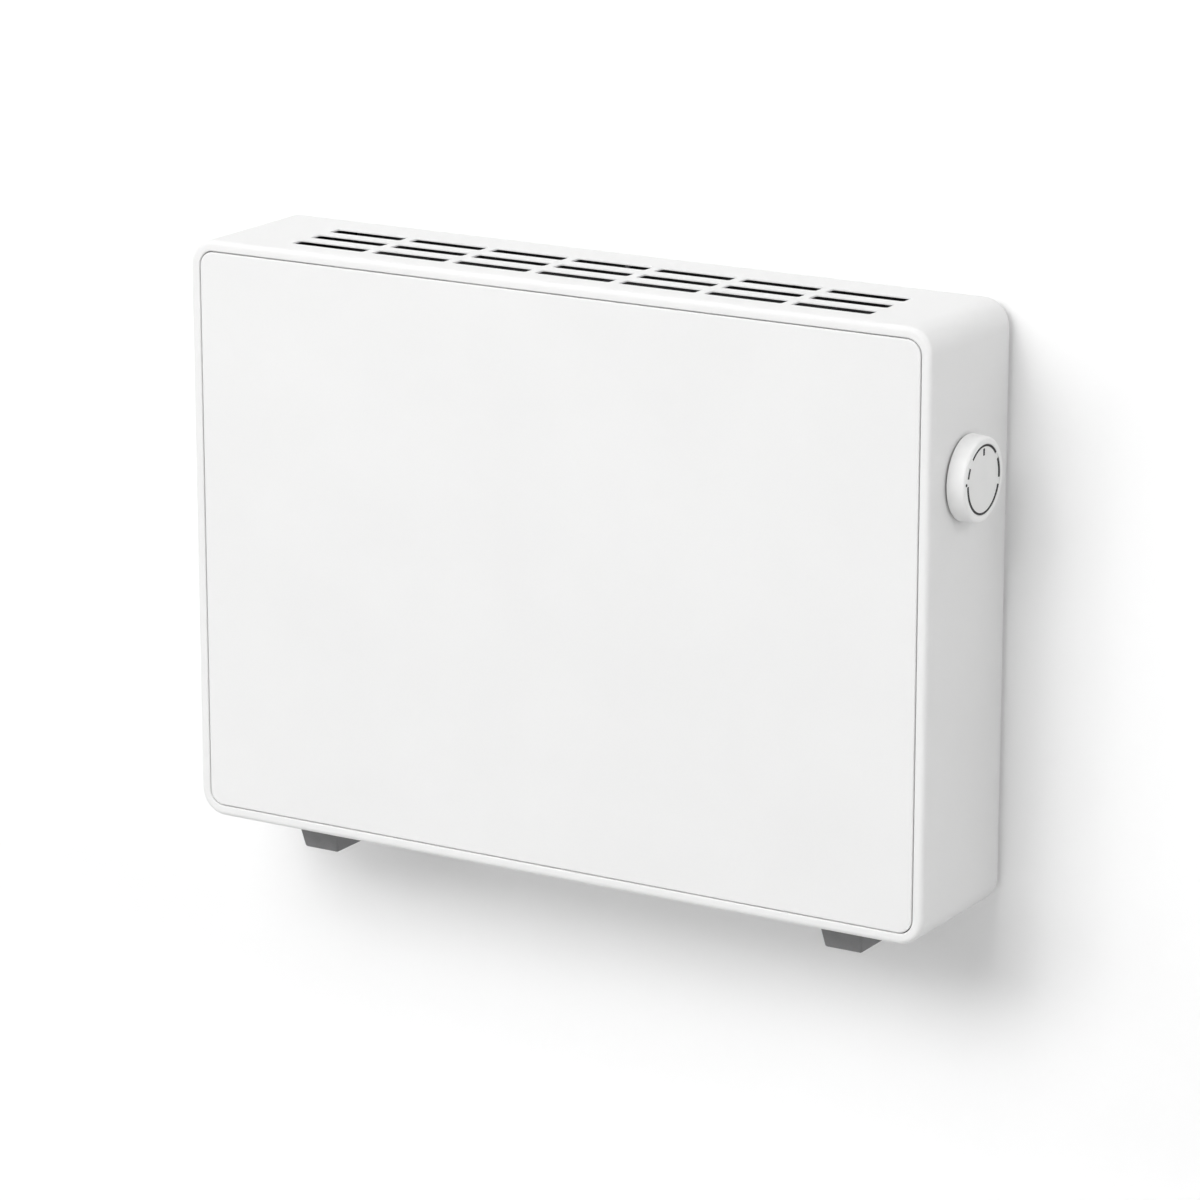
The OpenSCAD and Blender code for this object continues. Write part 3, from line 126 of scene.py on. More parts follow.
# what a finish has where its own row doesn't say otherwise
usualFinish = {"metallic": 0.0, "stretch": (1, 1, 1), "bump": 0.3, "depth": 0.1 * mm}
finishValues = {
    "white_paint": {
        "pale": (0.856, 0.856, 0.853), "dark": (0.842, 0.842, 0.839), "patchSize": 90 * mm,
        "grainSize": 1.3 * mm, "mottle": 0.012, "roughness": (0.34, 0.44),
        "bump": 0.25, "depth": 0.03 * mm},
    # painted shade: near-black colour for the chamber's inside and the slots' walls, standing in for the
    # shade there
    "painted_shade_inside": {
        "pale": (0.030, 0.030, 0.031), "dark": (0.020, 0.020, 0.021), "patchSize": 30 * mm,
        "grainSize": 1.0 * mm, "mottle": 0.1, "roughness": (0.60, 0.75)},
    "spring_steel": {
        "pale": (0.50, 0.50, 0.50), "dark": (0.40, 0.40, 0.41), "patchSize": 8 * mm, "metallic": 1.0,
        "grainSize": 0.5 * mm, "stretch": (1, 1, 8), "mottle": 0.15, "roughness": (0.25, 0.42)},
    "zinc_sheet": {
        "pale": (0.62, 0.64, 0.66), "dark": (0.47, 0.49, 0.51), "spangleSize": 7 * mm, "metallic": 1.0,
        "grainSize": 1.1 * mm, "mottle": 0.12, "roughness": (0.32, 0.50), "depth": 0.03 * mm},
    "zinc_fastener": {
        "pale": (0.66, 0.67, 0.68), "dark": (0.52, 0.53, 0.55), "patchSize": 3 * mm, "metallic": 1.0,
        "grainSize": 0.25 * mm, "mottle": 0.15, "roughness": (0.24, 0.40), "depth": 0.02 * mm},
    "bright_aluminium": {
        "pale": (0.80, 0.81, 0.82), "dark": (0.70, 0.71, 0.72), "patchSize": 20 * mm, "metallic": 1.0,
        "grainSize": 0.6 * mm, "stretch": (0.08, 1, 1), "mottle": 0.1, "roughness": (0.22, 0.36),
        "depth": 0.02 * mm},
    "heater_steel": {
        "pale": (0.30, 0.27, 0.24), "dark": (0.19, 0.17, 0.16), "patchSize": 14 * mm, "metallic": 1.0,
        "grainSize": 0.4 * mm, "mottle": 0.2, "roughness": (0.42, 0.60)},
    "insulator_ceramic": {
        "pale": (0.80, 0.76, 0.68), "dark": (0.70, 0.66, 0.58), "patchSize": 6 * mm,
        "grainSize": 0.3 * mm, "mottle": 0.08, "roughness": (0.45, 0.62)},
    "black_plastic": {
        "pale": (0.025, 0.025, 0.026), "dark": (0.016, 0.016, 0.017), "patchSize": 8 * mm,
        "grainSize": 0.35 * mm, "mottle": 0.2, "roughness": (0.38, 0.52)},
    "brass": {
        "pale": (0.74, 0.53, 0.24), "dark": (0.60, 0.41, 0.17), "patchSize": 4 * mm, "metallic": 1.0,
        "grainSize": 0.3 * mm, "mottle": 0.12, "roughness": (0.22, 0.38)},
    "copper": {
        "pale": (0.72, 0.38, 0.24), "dark": (0.56, 0.27, 0.17), "patchSize": 10 * mm, "metallic": 1.0,
        "grainSize": 0.4 * mm, "mottle": 0.15, "roughness": (0.25, 0.42)},
    "white_plastic": {
        "pale": (0.93, 0.93, 0.925), "dark": (0.915, 0.915, 0.91), "patchSize": 15 * mm,
        "grainSize": 0.5 * mm, "mottle": 0.015, "roughness": (0.36, 0.46),
        "bump": 0.2, "depth": 0.015 * mm},
    "grey_plastic": {
        "pale": (0.235, 0.235, 0.238), "dark": (0.213, 0.213, 0.216), "patchSize": 9 * mm,
        "grainSize": 0.6 * mm, "mottle": 0.12, "roughness": (0.50, 0.64),
        "bump": 0.45, "depth": 0.05 * mm},
    "pale_grey_plastic": {
        "pale": (0.875, 0.875, 0.868), "dark": (0.86, 0.86, 0.853), "patchSize": 12 * mm,
        "grainSize": 0.35 * mm, "mottle": 0.02, "roughness": (0.42, 0.52),
        "bump": 0.25, "depth": 0.015 * mm},
    "dark_print": {
        "pale": (0.018, 0.018, 0.019), "dark": (0.012, 0.012, 0.013), "patchSize": 2 * mm,
        "grainSize": 0.12 * mm, "mottle": 0.25, "roughness": (0.45, 0.60)},
    "brown_insulation": {
        "pale": (0.16, 0.065, 0.028), "dark": (0.12, 0.048, 0.021), "patchSize": 12 * mm,
        "grainSize": 0.5 * mm, "mottle": 0.1, "roughness": (0.40, 0.52)},
    "blue_insulation": {
        "pale": (0.035, 0.10, 0.40), "dark": (0.026, 0.08, 0.32), "patchSize": 12 * mm,
        "grainSize": 0.5 * mm, "mottle": 0.1, "roughness": (0.40, 0.52)},
    "green_insulation": {
        "pale": (0.10, 0.33, 0.05), "dark": (0.08, 0.26, 0.04), "patchSize": 12 * mm,
        "grainSize": 0.5 * mm, "mottle": 0.1, "roughness": (0.40, 0.52)},
}
finishes = {name: makeFinish(name, values) for name, values in finishValues.items()}
print("finishes made")


# Mesh helpers

def keepFlats(bm, edges, step):
    # a point near each end of every long edge, so that flats shade flat beside the bends
    for edge in edges:
        length = edge.calc_length()
        if length < 3 * step:
            continue
        near = bmesh.utils.edge_split(edge, edge.verts[0], step / length)[1]
        rest = max(near.link_edges, key=lambda e: e.calc_length())
        bmesh.utils.edge_split(rest, rest.other_vert(near), step / rest.calc_length())


def drawSection(bm, points, closed=True, steps=5, flatStep=0.4 * mm):
    # points are (outwards, from the wall, radius) in millimetres, drawn in the plane z = 0
    verts = [bm.verts.new((out * mm, -away * mm, 0)) for out, away, radius in points]
    pairs = zip(verts, verts[1:] + verts[:1] if closed else verts[1:])
    for first, second in pairs:
        bm.edges.new((first, second))
    for vert, (out, away, radius) in zip(verts, points):
        if radius:
            bmesh.ops.bevel(
                bm, geom=[vert], offset=radius * mm, affect="VERTICES", segments=steps, profile=0.5,
                material=-1)
    keepFlats(bm, list(bm.edges), flatStep)


def isVert(part):
    return isinstance(part, bmesh.types.BMVert)


def isEdge(part):
    return isinstance(part, bmesh.types.BMEdge)


def growEdges(bm, edges):
    # a copy of the edges, joined to them by faces
    grown = bmesh.ops.extrude_edge_only(bm, edges=edges)["geom"]
    verts = [part for part in grown if isVert(part)]
    fresh = set(verts)
    return verts, [part for part in grown if isEdge(part) and fresh.issuperset(part.verts)]


def sweepRound(bm, width, height, radius, steps=12, flatStep=0.5 * mm):
    # the section in bm goes round a rectangle with round corners; sizes in metres
    x, z = width / 2 - radius, height / 2 - radius
    bmesh.ops.translate(bm, verts=bm.verts, vec=(x, 0, z))
    wire = list(bm.verts) + list(bm.edges)
    for cx, cz, dx, dz in ((x, z, -1, 0), (-x, z, 0, -1), (-x, -z, 1, 0), (x, -z, 0, 1)):
        wire = bmesh.ops.spin(
            bm, geom=wire, cent=(cx, 0, cz), axis=(0, -1, 0), angle=radians(90), steps=steps,
            use_merge=False, use_duplicate=False)["geom_last"]
        edges = [part for part in wire if isEdge(part)]
        run = 2 * (x if dx else z)
        for length in (flatStep, run - 2 * flatStep, flatStep):
            verts, edges = growEdges(bm, edges)
            bmesh.ops.translate(bm, verts=verts, vec=(dx * length, 0, dz * length))
        wire = verts + edges
    bmesh.ops.remove_doubles(bm, verts=bm.verts, dist=weld)
    bmesh.ops.recalc_face_normals(bm, faces=bm.faces)


def takeOut(bm, point, normal):
    # removes the largest face of a plane, and gives the edges that were round it
    bm.normal_update()
    normal = Vector(normal)
    inPlane = [
        face for face in bm.faces
        if abs((face.calc_center_median() - Vector(point)).dot(normal)) < flush
        and abs(face.normal.dot(normal)) > parallel]
    largest = max(inPlane, key=lambda face: face.calc_area())
    rim = list(largest.edges)
    bmesh.ops.delete(bm, geom=[largest], context="FACES_ONLY")
    return rim


# the radius of an opening's edge, the flat strips drawn round it and on a blind bore's floor, the angles
# at which the edge is drawn, and the points round the opening
openingValues = {
    "edge": 0.35 * mm, "strip": 0.15 * mm, "floorStrip": 0.25 * mm,
    "angles": (30, 60, 90), "segments": 24}


def lineOpening(bm, place, size, corner, depth, blind=False):
    # the rounded edge and the wall of one opening; place turns its own Z to point out of the sheet,
    # and the wall ends in a strip outwards on the sheet's other face, or inwards in a blind bore
    radius, strip, segments = (openingValues[key] for key in ("edge", "strip", "segments"))
    rings = [(radius + strip, 0), (radius, 0)]
    rings += [
        (radius * (1 - sin(radians(turn))), radius * (1 - cos(radians(turn))))
        for turn in openingValues["angles"]]
    rings += [(0, depth), (-openingValues["floorStrip"] if blind else strip + radius, depth)]
    start = place @ Matrix.Rotation(radians(180 / segments), 4, "Z")
    made = bmesh.ops.create_circle(
        bm, cap_ends=False, segments=segments, radius=corner + rings[0][0], matrix=start)["verts"]
    edges = list(dict.fromkeys(edge for vert in made for edge in vert.link_edges))
    first, allVerts, own = edges, list(made), place.inverted()
    for (wide, low), (nextWide, nextLow) in zip(rings, rings[1:]):
        verts, edges = growEdges(bm, edges)
        factor = (corner + nextWide) / (corner + wide)
        bmesh.ops.scale(bm, vec=(factor, factor, 1), space=own, verts=verts)
        bmesh.ops.translate(bm, vec=place.to_3x3() @ Vector((0, 0, low - nextLow)), verts=verts)
        allVerts += verts
    for index, pull in ((0, size[0] / 2 - corner), (1, size[1] / 2 - corner)):
        if pull < weld:
            continue
        for side in (-1, 1):
            half = [vert for vert in allVerts if side * (own @ vert.co)[index] > 0]
            move = Vector((0, 0, 0))
            move[index] = side * pull
            bmesh.ops.translate(bm, vec=place.to_3x3() @ move, verts=half)
    return first, edges


def fillRound(bm, edges):
    bmesh.ops.triangle_fill(bm, use_beauty=True, use_dissolve=False, edges=edges)


def openSheet(bm, outer, inner, normal, openings):
    # outer and inner are points on the sheet's two faces; openings are (place, size, corner)
    depth = (Vector(outer) - Vector(inner)).length
    outerEdges, innerEdges = takeOut(bm, outer, normal), takeOut(bm, inner, normal)
    for place, size, corner in openings:
        first, last = lineOpening(bm, place, size, corner, depth)
        outerEdges += first
        innerEdges += last
    fillRound(bm, outerEdges)
    fillRound(bm, innerEdges)


def addPiece(name, bm, slot, body, replaced, sharp=30):
    bmesh.ops.remove_doubles(bm, verts=bm.verts, dist=weld)
    bmesh.ops.recalc_face_normals(bm, faces=bm.faces)
    for face in bm.faces:
        face.smooth = True
    for edge in bm.edges:
        edge.smooth = edge.calc_face_angle(0) < radians(sharp)
    mesh = bpy.data.meshes.new(name)
    bm.to_mesh(mesh)
    bm.free()
    piece = bpy.data.objects.new(name, mesh)
    bpy.context.scene.collection.objects.link(piece)
    mesh.materials.append(finishes[slot])
    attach(piece, body)
    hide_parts(replaced)
    return piece


def paintShadeInside(piece, values):
    # the faces that look into the chamber and the slots' walls get a near-black painted shade, so the
    # slots read dark
    piece.data.materials.append(finishes["painted_shade_inside"])
    corner, margin = values["corner"], values["shadeMargin"]
    first, last = values["chamber"]
    for face in piece.data.polygons:
        x, away, z = (abs(value) / mm for value in face.center)
        beyondX, beyondZ = x - values["width"] / 2 + corner, z - values["height"] / 2 + corner
        outwards = max(beyondX, beyondZ)
        if min(beyondX, beyondZ) > 0:
            outwards = Vector((beyondX, beyondZ)).length
        inside = (
            values["lip"] + margin < outwards < values["shadeEnd"]
            and first - margin < away < last + margin)
        for centre, radius, way in values["bends"]:
            out, on = outwards - centre[0], way * (away - centre[1])
            if min(out, on) > 0 and Vector((out, on)).length > radius:
                inside = False
        if inside:
            face.material_index = 1


# Casing: one rounded section swept round, then its air slots, intake slots and holes

casingValues = {
    "width": 500, "height": 360, "depth": 100, "corner": 16, "lip": 9.5, "sheet": 1,
    "section": (
        (9.5, 92, 0), (9.5, 100, 0.9), (16, 100, 3), (16, 4, 2), (4, 4, 0),
        (4, 5, 0), (15, 5, 1), (15, 99, 2), (10.5, 99, 0.3), (10.5, 92, 0)),
    "chamber": (5, 99), "shadeMargin": 0.05, "shadeEnd": 15.05,
    "bends": (((13, 97), 2.5, 1), ((14, 6), 1.5, -1)),      # centre, radius, 1 at the front or -1 behind
    "slot": (50.5, 11), "slotCorner": 1.5, "slotPitch": 56.6, "slotShift": 6,
    "slotColumns": range(-3, 4), "slotRows": (-76, -56, -36),
    "intake": (40, 6), "intakePitch": 48, "intakeColumns": range(-2, 3), "intakeRows": (-68, -52),
    "glandHole": (220.6, -44, 6.15), "spindleHole": (-57, 87.5, 5.15),
}


def buildCasing(values):
    bm = bmesh.new()
    drawSection(bm, values["section"])
    sweepRound(bm, values["width"] * mm, values["height"] * mm, values["corner"] * mm)
    top, side = values["height"] / 2 * mm, values["width"] / 2 * mm
    sheet, middle = values["sheet"] * mm, -values["depth"] / 2 * mm
    slot, intake = Vector(values["slot"]) * mm, Vector(values["intake"]) * mm
    slots = [
        (Matrix.Translation((values["slotShift"] * mm + k * values["slotPitch"] * mm, y * mm, top)),
         slot, values["slotCorner"] * mm)
        for k in values["slotColumns"] for y in values["slotRows"]]
    openSheet(bm, (0, middle, top), (0, middle, top - sheet), (0, 0, 1), slots)
    facingDown = Matrix.Rotation(radians(180), 4, "X")
    below = [
        (Matrix.Translation((k * values["intakePitch"] * mm, y * mm, -top)) @ facingDown,
         intake, intake.y / 2)
        for k in values["intakeColumns"] for y in values["intakeRows"]]
    x, y, radius = (value * mm for value in values["glandHole"])
    below.append((
        Matrix.Translation((x, y, -top)) @ facingDown, (2 * radius, 2 * radius), radius))
    openSheet(bm, (0, middle, -top), (0, middle, sheet - top), (0, 0, 1), below)
    y, z, radius = (value * mm for value in values["spindleHole"])
    facingRight = Matrix.Rotation(radians(90), 4, "Y")
    hole = (Matrix.Translation((side, y, z)) @ facingRight, (2 * radius, 2 * radius), radius)
    openSheet(bm, (side, middle, 0), (side - sheet, middle, 0), (1, 0, 0), [hole])
    # the casing's inside and its slots' walls get the near-black painted shade
    paintShadeInside(addPiece("casing_shell", bm, "white_paint", "heater", "casing"), values)


buildCasing(casingValues)
print("casing made")


# Front panel: a flat sheet with a rounded, turned-back edge

panelValues = {
    "width": 485.6, "height": 345.6, "corner": 8.8,
    "section": (
        (6.6, 100, 0), (8.9, 100, 0.8), (8.9, 95, 0), (7.6, 95, 0), (7.6, 98.8, 0.2), (6.6, 98.8, 0)),
}


def closeFlat(bm):
    # fills each open loop of the swept edge with one flat face
    bmesh.ops.edgeloop_fill(bm, edges=[edge for edge in bm.edges if edge.is_boundary])


def buildFrontPanel(values):
    bm = bmesh.new()
    drawSection(bm, values["section"], closed=False)
    sweepRound(bm, values["width"] * mm, values["height"] * mm, values["corner"] * mm)
    closeFlat(bm)
    addPiece("front_sheet", bm, "white_paint", "heater", "front_panel")


buildFrontPanel(panelValues)
print("front panel made")


# Back panel: the rim, the recess wall and its floor with rounded bends, and slots for the hooks

backValues = {
    "width": 470, "height": 330, "corner": 3,
    "section": (
        (0.5, 17, 0), (3, 17, 0.5), (3, 5, 1.5), (15.4, 5, 0), (15.4, 6, 0), (4, 6, 0.5),
        (4, 18, 1.5), (0.5, 18, 0)),
    "floor": (17, 18),      # how far the recess floor's two faces are from the wall
    "hookX": (-142.25, 142.25), "hookZ": (105.45, -108.55), "hookSlot": (3, 22.5), "hookCorner": 0.8,
    "shadeTilt": 0.3,        # how far a face turns towards the chamber before it gets the painted shade
}


def buildBackPanel(values):
    bm = bmesh.new()
    drawSection(bm, values["section"], closed=False)
    sweepRound(bm, values["width"] * mm, values["height"] * mm, values["corner"] * mm)
    closeFlat(bm)
    facingWall = Matrix.Rotation(radians(-90), 4, "X")
    outer, inner = (-away * mm for away in values["floor"])
    slots = [
        (Matrix.Translation((x * mm, outer, z * mm)) @ facingWall,
         Vector(values["hookSlot"]) * mm, values["hookCorner"] * mm)
        for x in values["hookX"] for z in values["hookZ"]]
    openSheet(bm, (0, outer, 0), (0, inner, 0), (0, 1, 0), slots)
    paintShadeTowardsFront(addPiece("back_sheet", bm, "zinc_sheet", "heater", "back_panel"), values)


def paintShadeTowardsFront(piece, values):
    # the side that looks into the chamber gets the same near-black painted shade as the casing's inside
    piece.data.materials.append(finishes["painted_shade_inside"])
    for face in piece.data.polygons:
        outwards = (
            face.normal.x * copysign(1, face.center.x) + face.normal.z * copysign(1, face.center.z))
        if max(-face.normal.y, outwards) > values["shadeTilt"]:
            face.material_index = 1


buildBackPanel(backValues)
print("back panel made")


# Knob: grip and disc, turned about the spindle's axis

knobValues = {
    "centre": (250, -57, 87.5), "steps": 96, "flatStep": 0.2,
    "grip": (
        (25, 1.1, 0.35), (24.4, 11.8, 1.6), (20.4, 11.8, 0.08), (20.4, 9.95, 0), (3.05, 9.95, 0),
        (3.05, 2.2, 0), (5.8, 2.2, 0.3), (5.8, 7.95, 0.6), (22.2, 7.95, 1), (22.6, 1.1, 0.3)),
    "disc": ((0, 9.95, 0), (20.2, 9.95, 0.1), (20.2, 11.55, 0.1), (0, 11.55, 0)),
}


def turnOnSpindle(bm, values):
    # the section's first number is the radius, and its second the height over the casing's side
    centre = Vector(values["centre"]) * mm
    standUp = Matrix(((0, -1, 0, 0), (0, 0, 1, 0), (1, 0, 0, 0), (0, 0, 0, 1)))
    bmesh.ops.transform(bm, matrix=standUp, verts=bm.verts)
    bmesh.ops.translate(bm, vec=centre, verts=bm.verts)
    bmesh.ops.spin(
        bm, geom=list(bm.verts) + list(bm.edges), cent=centre, axis=(1, 0, 0), angle=radians(360),
        steps=values["steps"], use_merge=True, use_duplicate=False)


def buildKnobPiece(name, section, closed, slot, replaced):
    bm = bmesh.new()
    drawSection(bm, knobValues[section], closed=closed, flatStep=knobValues["flatStep"] * mm)
    turnOnSpindle(bm, knobValues)
    addPiece(name, bm, slot, "knob", replaced)


buildKnobPiece("knob_grip", "grip", True, "white_plastic", "knob_ring")
buildKnobPiece("knob_face", "disc", False, "pale_grey_plastic", "knob_disc")
print("knob made")


# Scale: four marks printed along the disc's edge, wider at its sides

scaleValues = {
    "outer": 20.1, "low": 11.55, "high": 11.67, "sideWidth": 2.0, "endWidth": 1.15, "step": 2,
    "marks": ((41, 134), (150, 168), (-7, 28), (-179, -19)),
}


def buildScale(values):
    # a mark's angles run from the rear over the top, in degrees
    bm = bmesh.new()
    centre = Vector(knobValues["centre"]) * mm
    outer, inner = values["outer"], values["outer"] - values["sideWidth"]
    low, high = values["low"], values["high"]
    for start, stop in values["marks"]:
        spoke = Vector((0, cos(radians(start)), sin(radians(start))))
        corners = [
            bm.verts.new(centre + (spoke * radius + Vector((height, 0, 0))) * mm)
            for radius, height in ((outer, low), (outer, high), (inner, high), (inner, low))]
        end = bm.faces.new(corners)
        bmesh.ops.spin(
            bm, geom=corners + list(end.edges) + [end], cent=centre, axis=(1, 0, 0),
            angle=radians(stop - start), steps=round((stop - start) / values["step"]), use_merge=False,
            use_duplicate=False)
    for vert in bm.verts:
        spoke = vert.co - centre
        spoke.x = 0
        if spoke.length < (outer + inner) / 2 * mm:
            sideways = (spoke.y / spoke.length) ** 2
            width = values["endWidth"] + (values["sideWidth"] - values["endWidth"]) * sideways
            vert.co += spoke.normalized() * ((outer - width) * mm - spoke.length)
    addPiece("scale_print", bm, "dark_print", "knob", "knob_scale")


buildScale(scaleValues)
print("scale made")


# Feet: tapered blocks with rounded edges and two screw bores from below

footValues = {
    "x": 182.6, "y": -52, "top": -180, "width": 30.6, "length": 44, "height": 21.8,
    "draftSide": 3.2, "draftFront": 5.2, "edge": 1.4, "edgeSteps": 5,
    "bore": 3.8, "boreDepth": 10, "boreSpacing": 16, "sharp": 35,
}


def buildFoot(name, side, replaced, values):
    bm = bmesh.new()
    bmesh.ops.create_cube(bm, size=1.0)
    bmesh.ops.scale(
        bm, vec=Vector((values["width"], values["length"], values["height"])) * mm, verts=bm.verts)
    lower = [vert for vert in bm.verts if vert.co.z < 0]
    narrowed = 1 - 2 * values["draftSide"] / values["width"]
    shortened = 1 - 2 * values["draftFront"] / values["length"]
    bmesh.ops.scale(bm, vec=(narrowed, shortened, 1), verts=lower)
    bmesh.ops.translate(
        bm, verts=bm.verts,
        vec=Vector((side * values["x"], values["y"], values["top"] - values["height"] / 2)) * mm)
    top = values["top"] * mm
    rounded = [
        edge for edge in bm.edges if not all(abs(vert.co.z - top) < weld for vert in edge.verts)]
    bmesh.ops.bevel(
        bm, geom=rounded, offset=values["edge"] * mm, affect="EDGES", segments=values["edgeSteps"],
        profile=0.5, material=-1)
    base = top - values["height"] * mm
    edges = takeOut(bm, (0, 0, base), (0, 0, 1))
    facingDown = Matrix.Rotation(radians(180), 4, "X")
    radius = values["bore"] * mm
    for end in (-1, 1):
        y = (values["y"] + end * values["boreSpacing"] / 2) * mm
        place = Matrix.Translation((side * values["x"] * mm, y, base)) @ facingDown
        first, last = lineOpening(
            bm, place, (2 * radius, 2 * radius), radius, values["boreDepth"] * mm, blind=True)
        edges += first
        bmesh.ops.edgeloop_fill(bm, edges=last)
    fillRound(bm, edges)
    addPiece(name, bm, "grey_plastic", "heater", replaced, sharp=values["sharp"])


buildFoot("foot_block_left", -1, "foot_left", footValues)
buildFoot("foot_block_right", 1, "foot_right", footValues)
print("feet made")


# Plain CAD shapes that only need their edges softened

# each CAD node: its piece's name, finish, body, and the softened edge's width in millimetres
softened = {
    "wall_bracket": ("bracket_frame", "zinc_sheet", "bracket", 0.35),
    "back_panel_screws": ("rear_screws", "zinc_fastener", "heater", 0.2),
    "mounting_screws": ("plate_screws", "zinc_fastener", "heater", 0.2),
    "foot_screws": ("foot_bolts", "zinc_fastener", "heater", 0.2),
    "cable_gland": ("gland_head", "grey_plastic", "heater", 0.4),
}
softValues = {"weld": 10 * weld, "flatAngle": 1, "edgeAngle": 35, "segments": 3}


def softenEdges(node, name, slot, body, width):
    # a copy of the CAD mesh is merged, its flat faces are joined up, and its corners are bevelled
    bm = bmesh.new()
    bm.from_mesh(nodes[node].data)
    bmesh.ops.remove_doubles(bm, verts=bm.verts, dist=softValues["weld"])
    bmesh.ops.dissolve_limit(
        bm, angle_limit=radians(softValues["flatAngle"]), verts=bm.verts, edges=bm.edges)
    piece = addPiece(name, bm, slot, body, node, sharp=180)
    bevel = piece.modifiers.new("soft edges", "BEVEL")
    bevel.width = width * mm
    bevel.segments = softValues["segments"]
    bevel.limit_method = "ANGLE"
    bevel.angle_limit = radians(softValues["edgeAngle"])
    bevel.harden_normals = True


for node, (name, slot, body, width) in softened.items():
    softenEdges(node, name, slot, body, width)

for part in frame["record"]["subparts"]:
    mesh = nodes[part["node"]].data
    mesh.materials.clear()
    mesh.materials.append(finishes[part["material_slot"]])
print("other nodes dressed")


# Stage: a wall behind the heater and a plain floor, each seen from its front only

stageValues = {
    "width": 8, "wallTop": 4, "floorZ": -1.0, "floorDepth": 6, "hole": (0.242, 0.173),
    "wallAlbedo": 0.8, "floorAlbedo": 0.6,
    "paintedLiftSpan": (-0.43, -0.29), "paintedLiftWhite": (1.085, 1.0),      # how white the wall is seen at two heights: painted light, whiter low down to cancel the high lamps' falloff there
}


def makeStageFinish(name, albedo, shaded):
    # the camera sees it nearly white, with or without shadows; the heater is lit by its plain albedo
    material = bpy.data.materials.new(name)
    material.use_nodes = True
    tree = material.node_tree
    tree.nodes.clear()
    ray = addNode(tree, "ShaderNodeLightPath").outputs
    side = addNode(tree, "ShaderNodeNewGeometry").outputs["Backfacing"]
    plain = addNode(tree, "ShaderNodeBsdfDiffuse", Color=(albedo, albedo, albedo, 1))
    if shaded:
        # painted light: the camera sees the wall up to 8.5 % whiter towards the bottom, cancelling the
        # shade of the lamps' falloff there
        place = addNode(tree, "ShaderNodeTexCoord").outputs["Object"]
        height = addNode(tree, "ShaderNodeSeparateXYZ", Vector=place).outputs["Z"]
        white = addRange(tree, height, stageValues["paintedLiftSpan"], stageValues["paintedLiftWhite"])
        white.interpolation_type = "SMOOTHSTEP"
        seen = addNode(tree, "ShaderNodeBsdfDiffuse", Color=white.outputs["Result"])
    else:
        seen = addNode(tree, "ShaderNodeEmission", Color=(1, 1, 1, 1), Strength=1.0)
    byRay = addNode(tree, "ShaderNodeMixShader", Fac=ray["Is Camera Ray"])
    tree.links.new(plain.outputs[0], byRay.inputs[1])
    tree.links.new(seen.outputs[0], byRay.inputs[2])
    clear = addNode(tree, "ShaderNodeBsdfTransparent")
    result = addNode(tree, "ShaderNodeMixShader", Fac=side)
    tree.links.new(byRay.outputs[0], result.inputs[1])
    tree.links.new(clear.outputs[0], result.inputs[2])
    output = addNode(tree, "ShaderNodeOutputMaterial")
    tree.links.new(result.outputs[0], output.inputs["Surface"])
    return material


def drawWall(values):
    # a hole hidden behind the heater lets the rear lamps reach its back, and nothing else
    bm = bmesh.new()
    half = 1.5      # of a grid of three by three unit squares, whose middle one becomes the hole
    bmesh.ops.create_grid(bm, x_segments=3, y_segments=3, size=half)
    holeX, holeZ = values["hole"]
    columns = (-values["width"] / 2, -holeX, holeX, values["width"] / 2)
    rows = (values["floorZ"], -holeZ, holeZ, values["wallTop"])
    for vert in bm.verts:
        vert.co = (columns[round(vert.co.x + half)], 0, rows[round(vert.co.y + half)])
    middle = [face for face in bm.faces if face.calc_center_median().length < holeZ]
    bmesh.ops.delete(bm, geom=middle, context="FACES_ONLY")
    return bm


def drawFloor(values):
    bm = bmesh.new()
    bmesh.ops.create_grid(bm, x_segments=1, y_segments=1, size=0.5)
    bmesh.ops.scale(bm, vec=(values["width"], values["floorDepth"], 1), verts=bm.verts)
    bmesh.ops.translate(bm, vec=(0, -values["floorDepth"] / 2, values["floorZ"]), verts=bm.verts)
    return bm


def addStage(name, bm, material):
    mesh = bpy.data.meshes.new(name)
    bm.to_mesh(mesh)
    bm.free()
    mesh.materials.append(material)
    piece = bpy.data.objects.new(name, mesh)
    bpy.context.scene.collection.objects.link(piece)


wallFinish = makeStageFinish("wall_white", stageValues["wallAlbedo"], True)
floorFinish = makeStageFinish("floor_white", stageValues["floorAlbedo"], False)
addStage("wall", drawWall(stageValues), wallFinish)
addStage("floor", drawFloor(stageValues), floorFinish)
print("stage made")


# Camera at the photograph's angle

cameraValues = {
    "target": (0.0064, -0.05, -0.0201), "yaw": 31.068, "pitch": 15.295, "distance": 3.0444,
    "lens": 154.32, "sensor": 36, "clip": (0.01, 100)}


def addCamera(values):
    yaw, pitch = radians(values["yaw"]), radians(values["pitch"])
    back = Vector((sin(yaw) * cos(pitch), -cos(yaw) * cos(pitch), sin(pitch)))
    data = bpy.data.cameras.new("camera")
    data.sensor_width = values["sensor"]
    data.lens = values["lens"]
    data.clip_start, data.clip_end = values["clip"]
    camera = bpy.data.objects.new("camera", data)
    camera.location = Vector(values["target"]) + back * values["distance"]
    camera.rotation_mode = "QUATERNION"
    camera.rotation_quaternion = (-back).to_track_quat("-Z", "Y")
    bpy.context.scene.collection.objects.link(camera)
    bpy.context.scene.camera = camera


addCamera(cameraValues)


# Lights: four soft keys from the left and the front, a fill on the right, two lamps behind the wall for
# the heater's back, and a plain white world

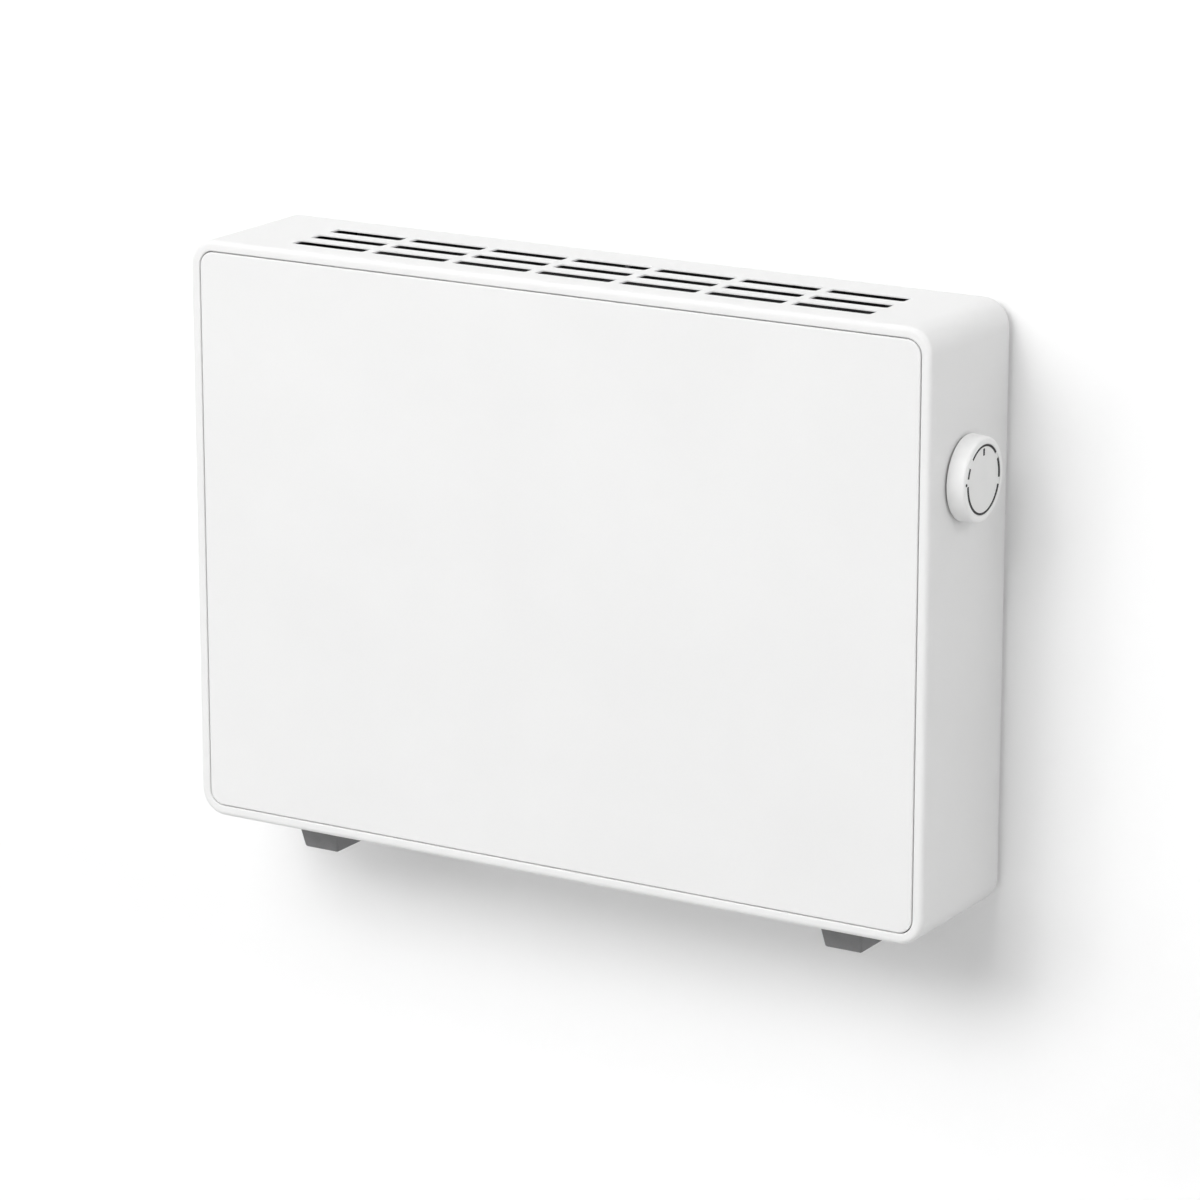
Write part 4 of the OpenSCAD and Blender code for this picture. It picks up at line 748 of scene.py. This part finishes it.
# turn is degrees to the right of straight in front, rise is degrees above the heater's middle, and a
# lamp's size is in metres and its power in watts
lampValues = {
    "keyLeft": {"turn": -40, "rise": 20, "size": 2.3, "power": 40.5},
    "keyMiddle": {"turn": -20, "rise": 35, "size": 2.3, "power": 74.6},
    "keyFront": {"turn": 0, "rise": 35, "size": 2.3, "power": 48},
    "keyHigh": {"turn": 0, "rise": 50, "size": 2.3, "power": 25.3},
    "sideFill": {"turn": 75, "rise": 30, "size": 3.0, "power": 42.8},
    "rearLeft": {"turn": -150, "rise": 15, "size": 2.8, "power": 75},
    "rearRight": {"turn": 150, "rise": 10, "size": 2.8, "power": 60},
}
lampAim, lampReach = (0, -0.05, 0), 5.0      # what every lamp points at, and from how far
worldValues = {"ambient": 0.35, "seen": 1.0}      # how bright it is to the heater, and to the camera


def addLamp(name, values):
    data = bpy.data.lights.new(name, "AREA")
    data.shape = "DISK"
    data.size = values["size"]
    data.energy = values["power"]
    lamp = bpy.data.objects.new(name, data)
    turn, rise = radians(values["turn"]), radians(values["rise"])
    towards = Vector((sin(turn) * cos(rise), -cos(turn) * cos(rise), sin(rise)))
    lamp.location = Vector(lampAim) + towards * lampReach
    lamp.rotation_mode = "QUATERNION"
    lamp.rotation_quaternion = (-towards).to_track_quat("-Z", "Y")
    lamp.visible_camera = False
    lamp.visible_glossy = False
    bpy.context.scene.collection.objects.link(lamp)


def lightWorld(values):
    world = bpy.data.worlds.new("plain_white")
    world.use_nodes = True
    bpy.context.scene.world = world
    tree = world.node_tree
    tree.nodes.clear()
    ray = addNode(tree, "ShaderNodeLightPath").outputs
    ambient = addNode(tree, "ShaderNodeBackground", Strength=values["ambient"])
    seen = addNode(tree, "ShaderNodeBackground", Strength=values["seen"])
    ambient.inputs["Color"].default_value = seen.inputs["Color"].default_value = (1, 1, 1, 1)
    shown = ray["Is Camera Ray"]
    for other in ("Is Glossy Ray", "Is Transmission Ray"):
        either = addNode(tree, "ShaderNodeMath")
        either.operation = "MAXIMUM"
        tree.links.new(shown, either.inputs[0])
        tree.links.new(ray[other], either.inputs[1])
        shown = either.outputs[0]
    mixed = addNode(tree, "ShaderNodeMixShader", Fac=shown)
    tree.links.new(ambient.outputs[0], mixed.inputs[1])
    tree.links.new(seen.outputs[0], mixed.inputs[2])
    output = addNode(tree, "ShaderNodeOutputWorld")
    tree.links.new(mixed.outputs[0], output.inputs["Surface"])


for name, values in lampValues.items():
    addLamp(name, values)
lightWorld(worldValues)
bpy.context.scene.view_settings.view_transform = "Standard"
print("camera and lights made")
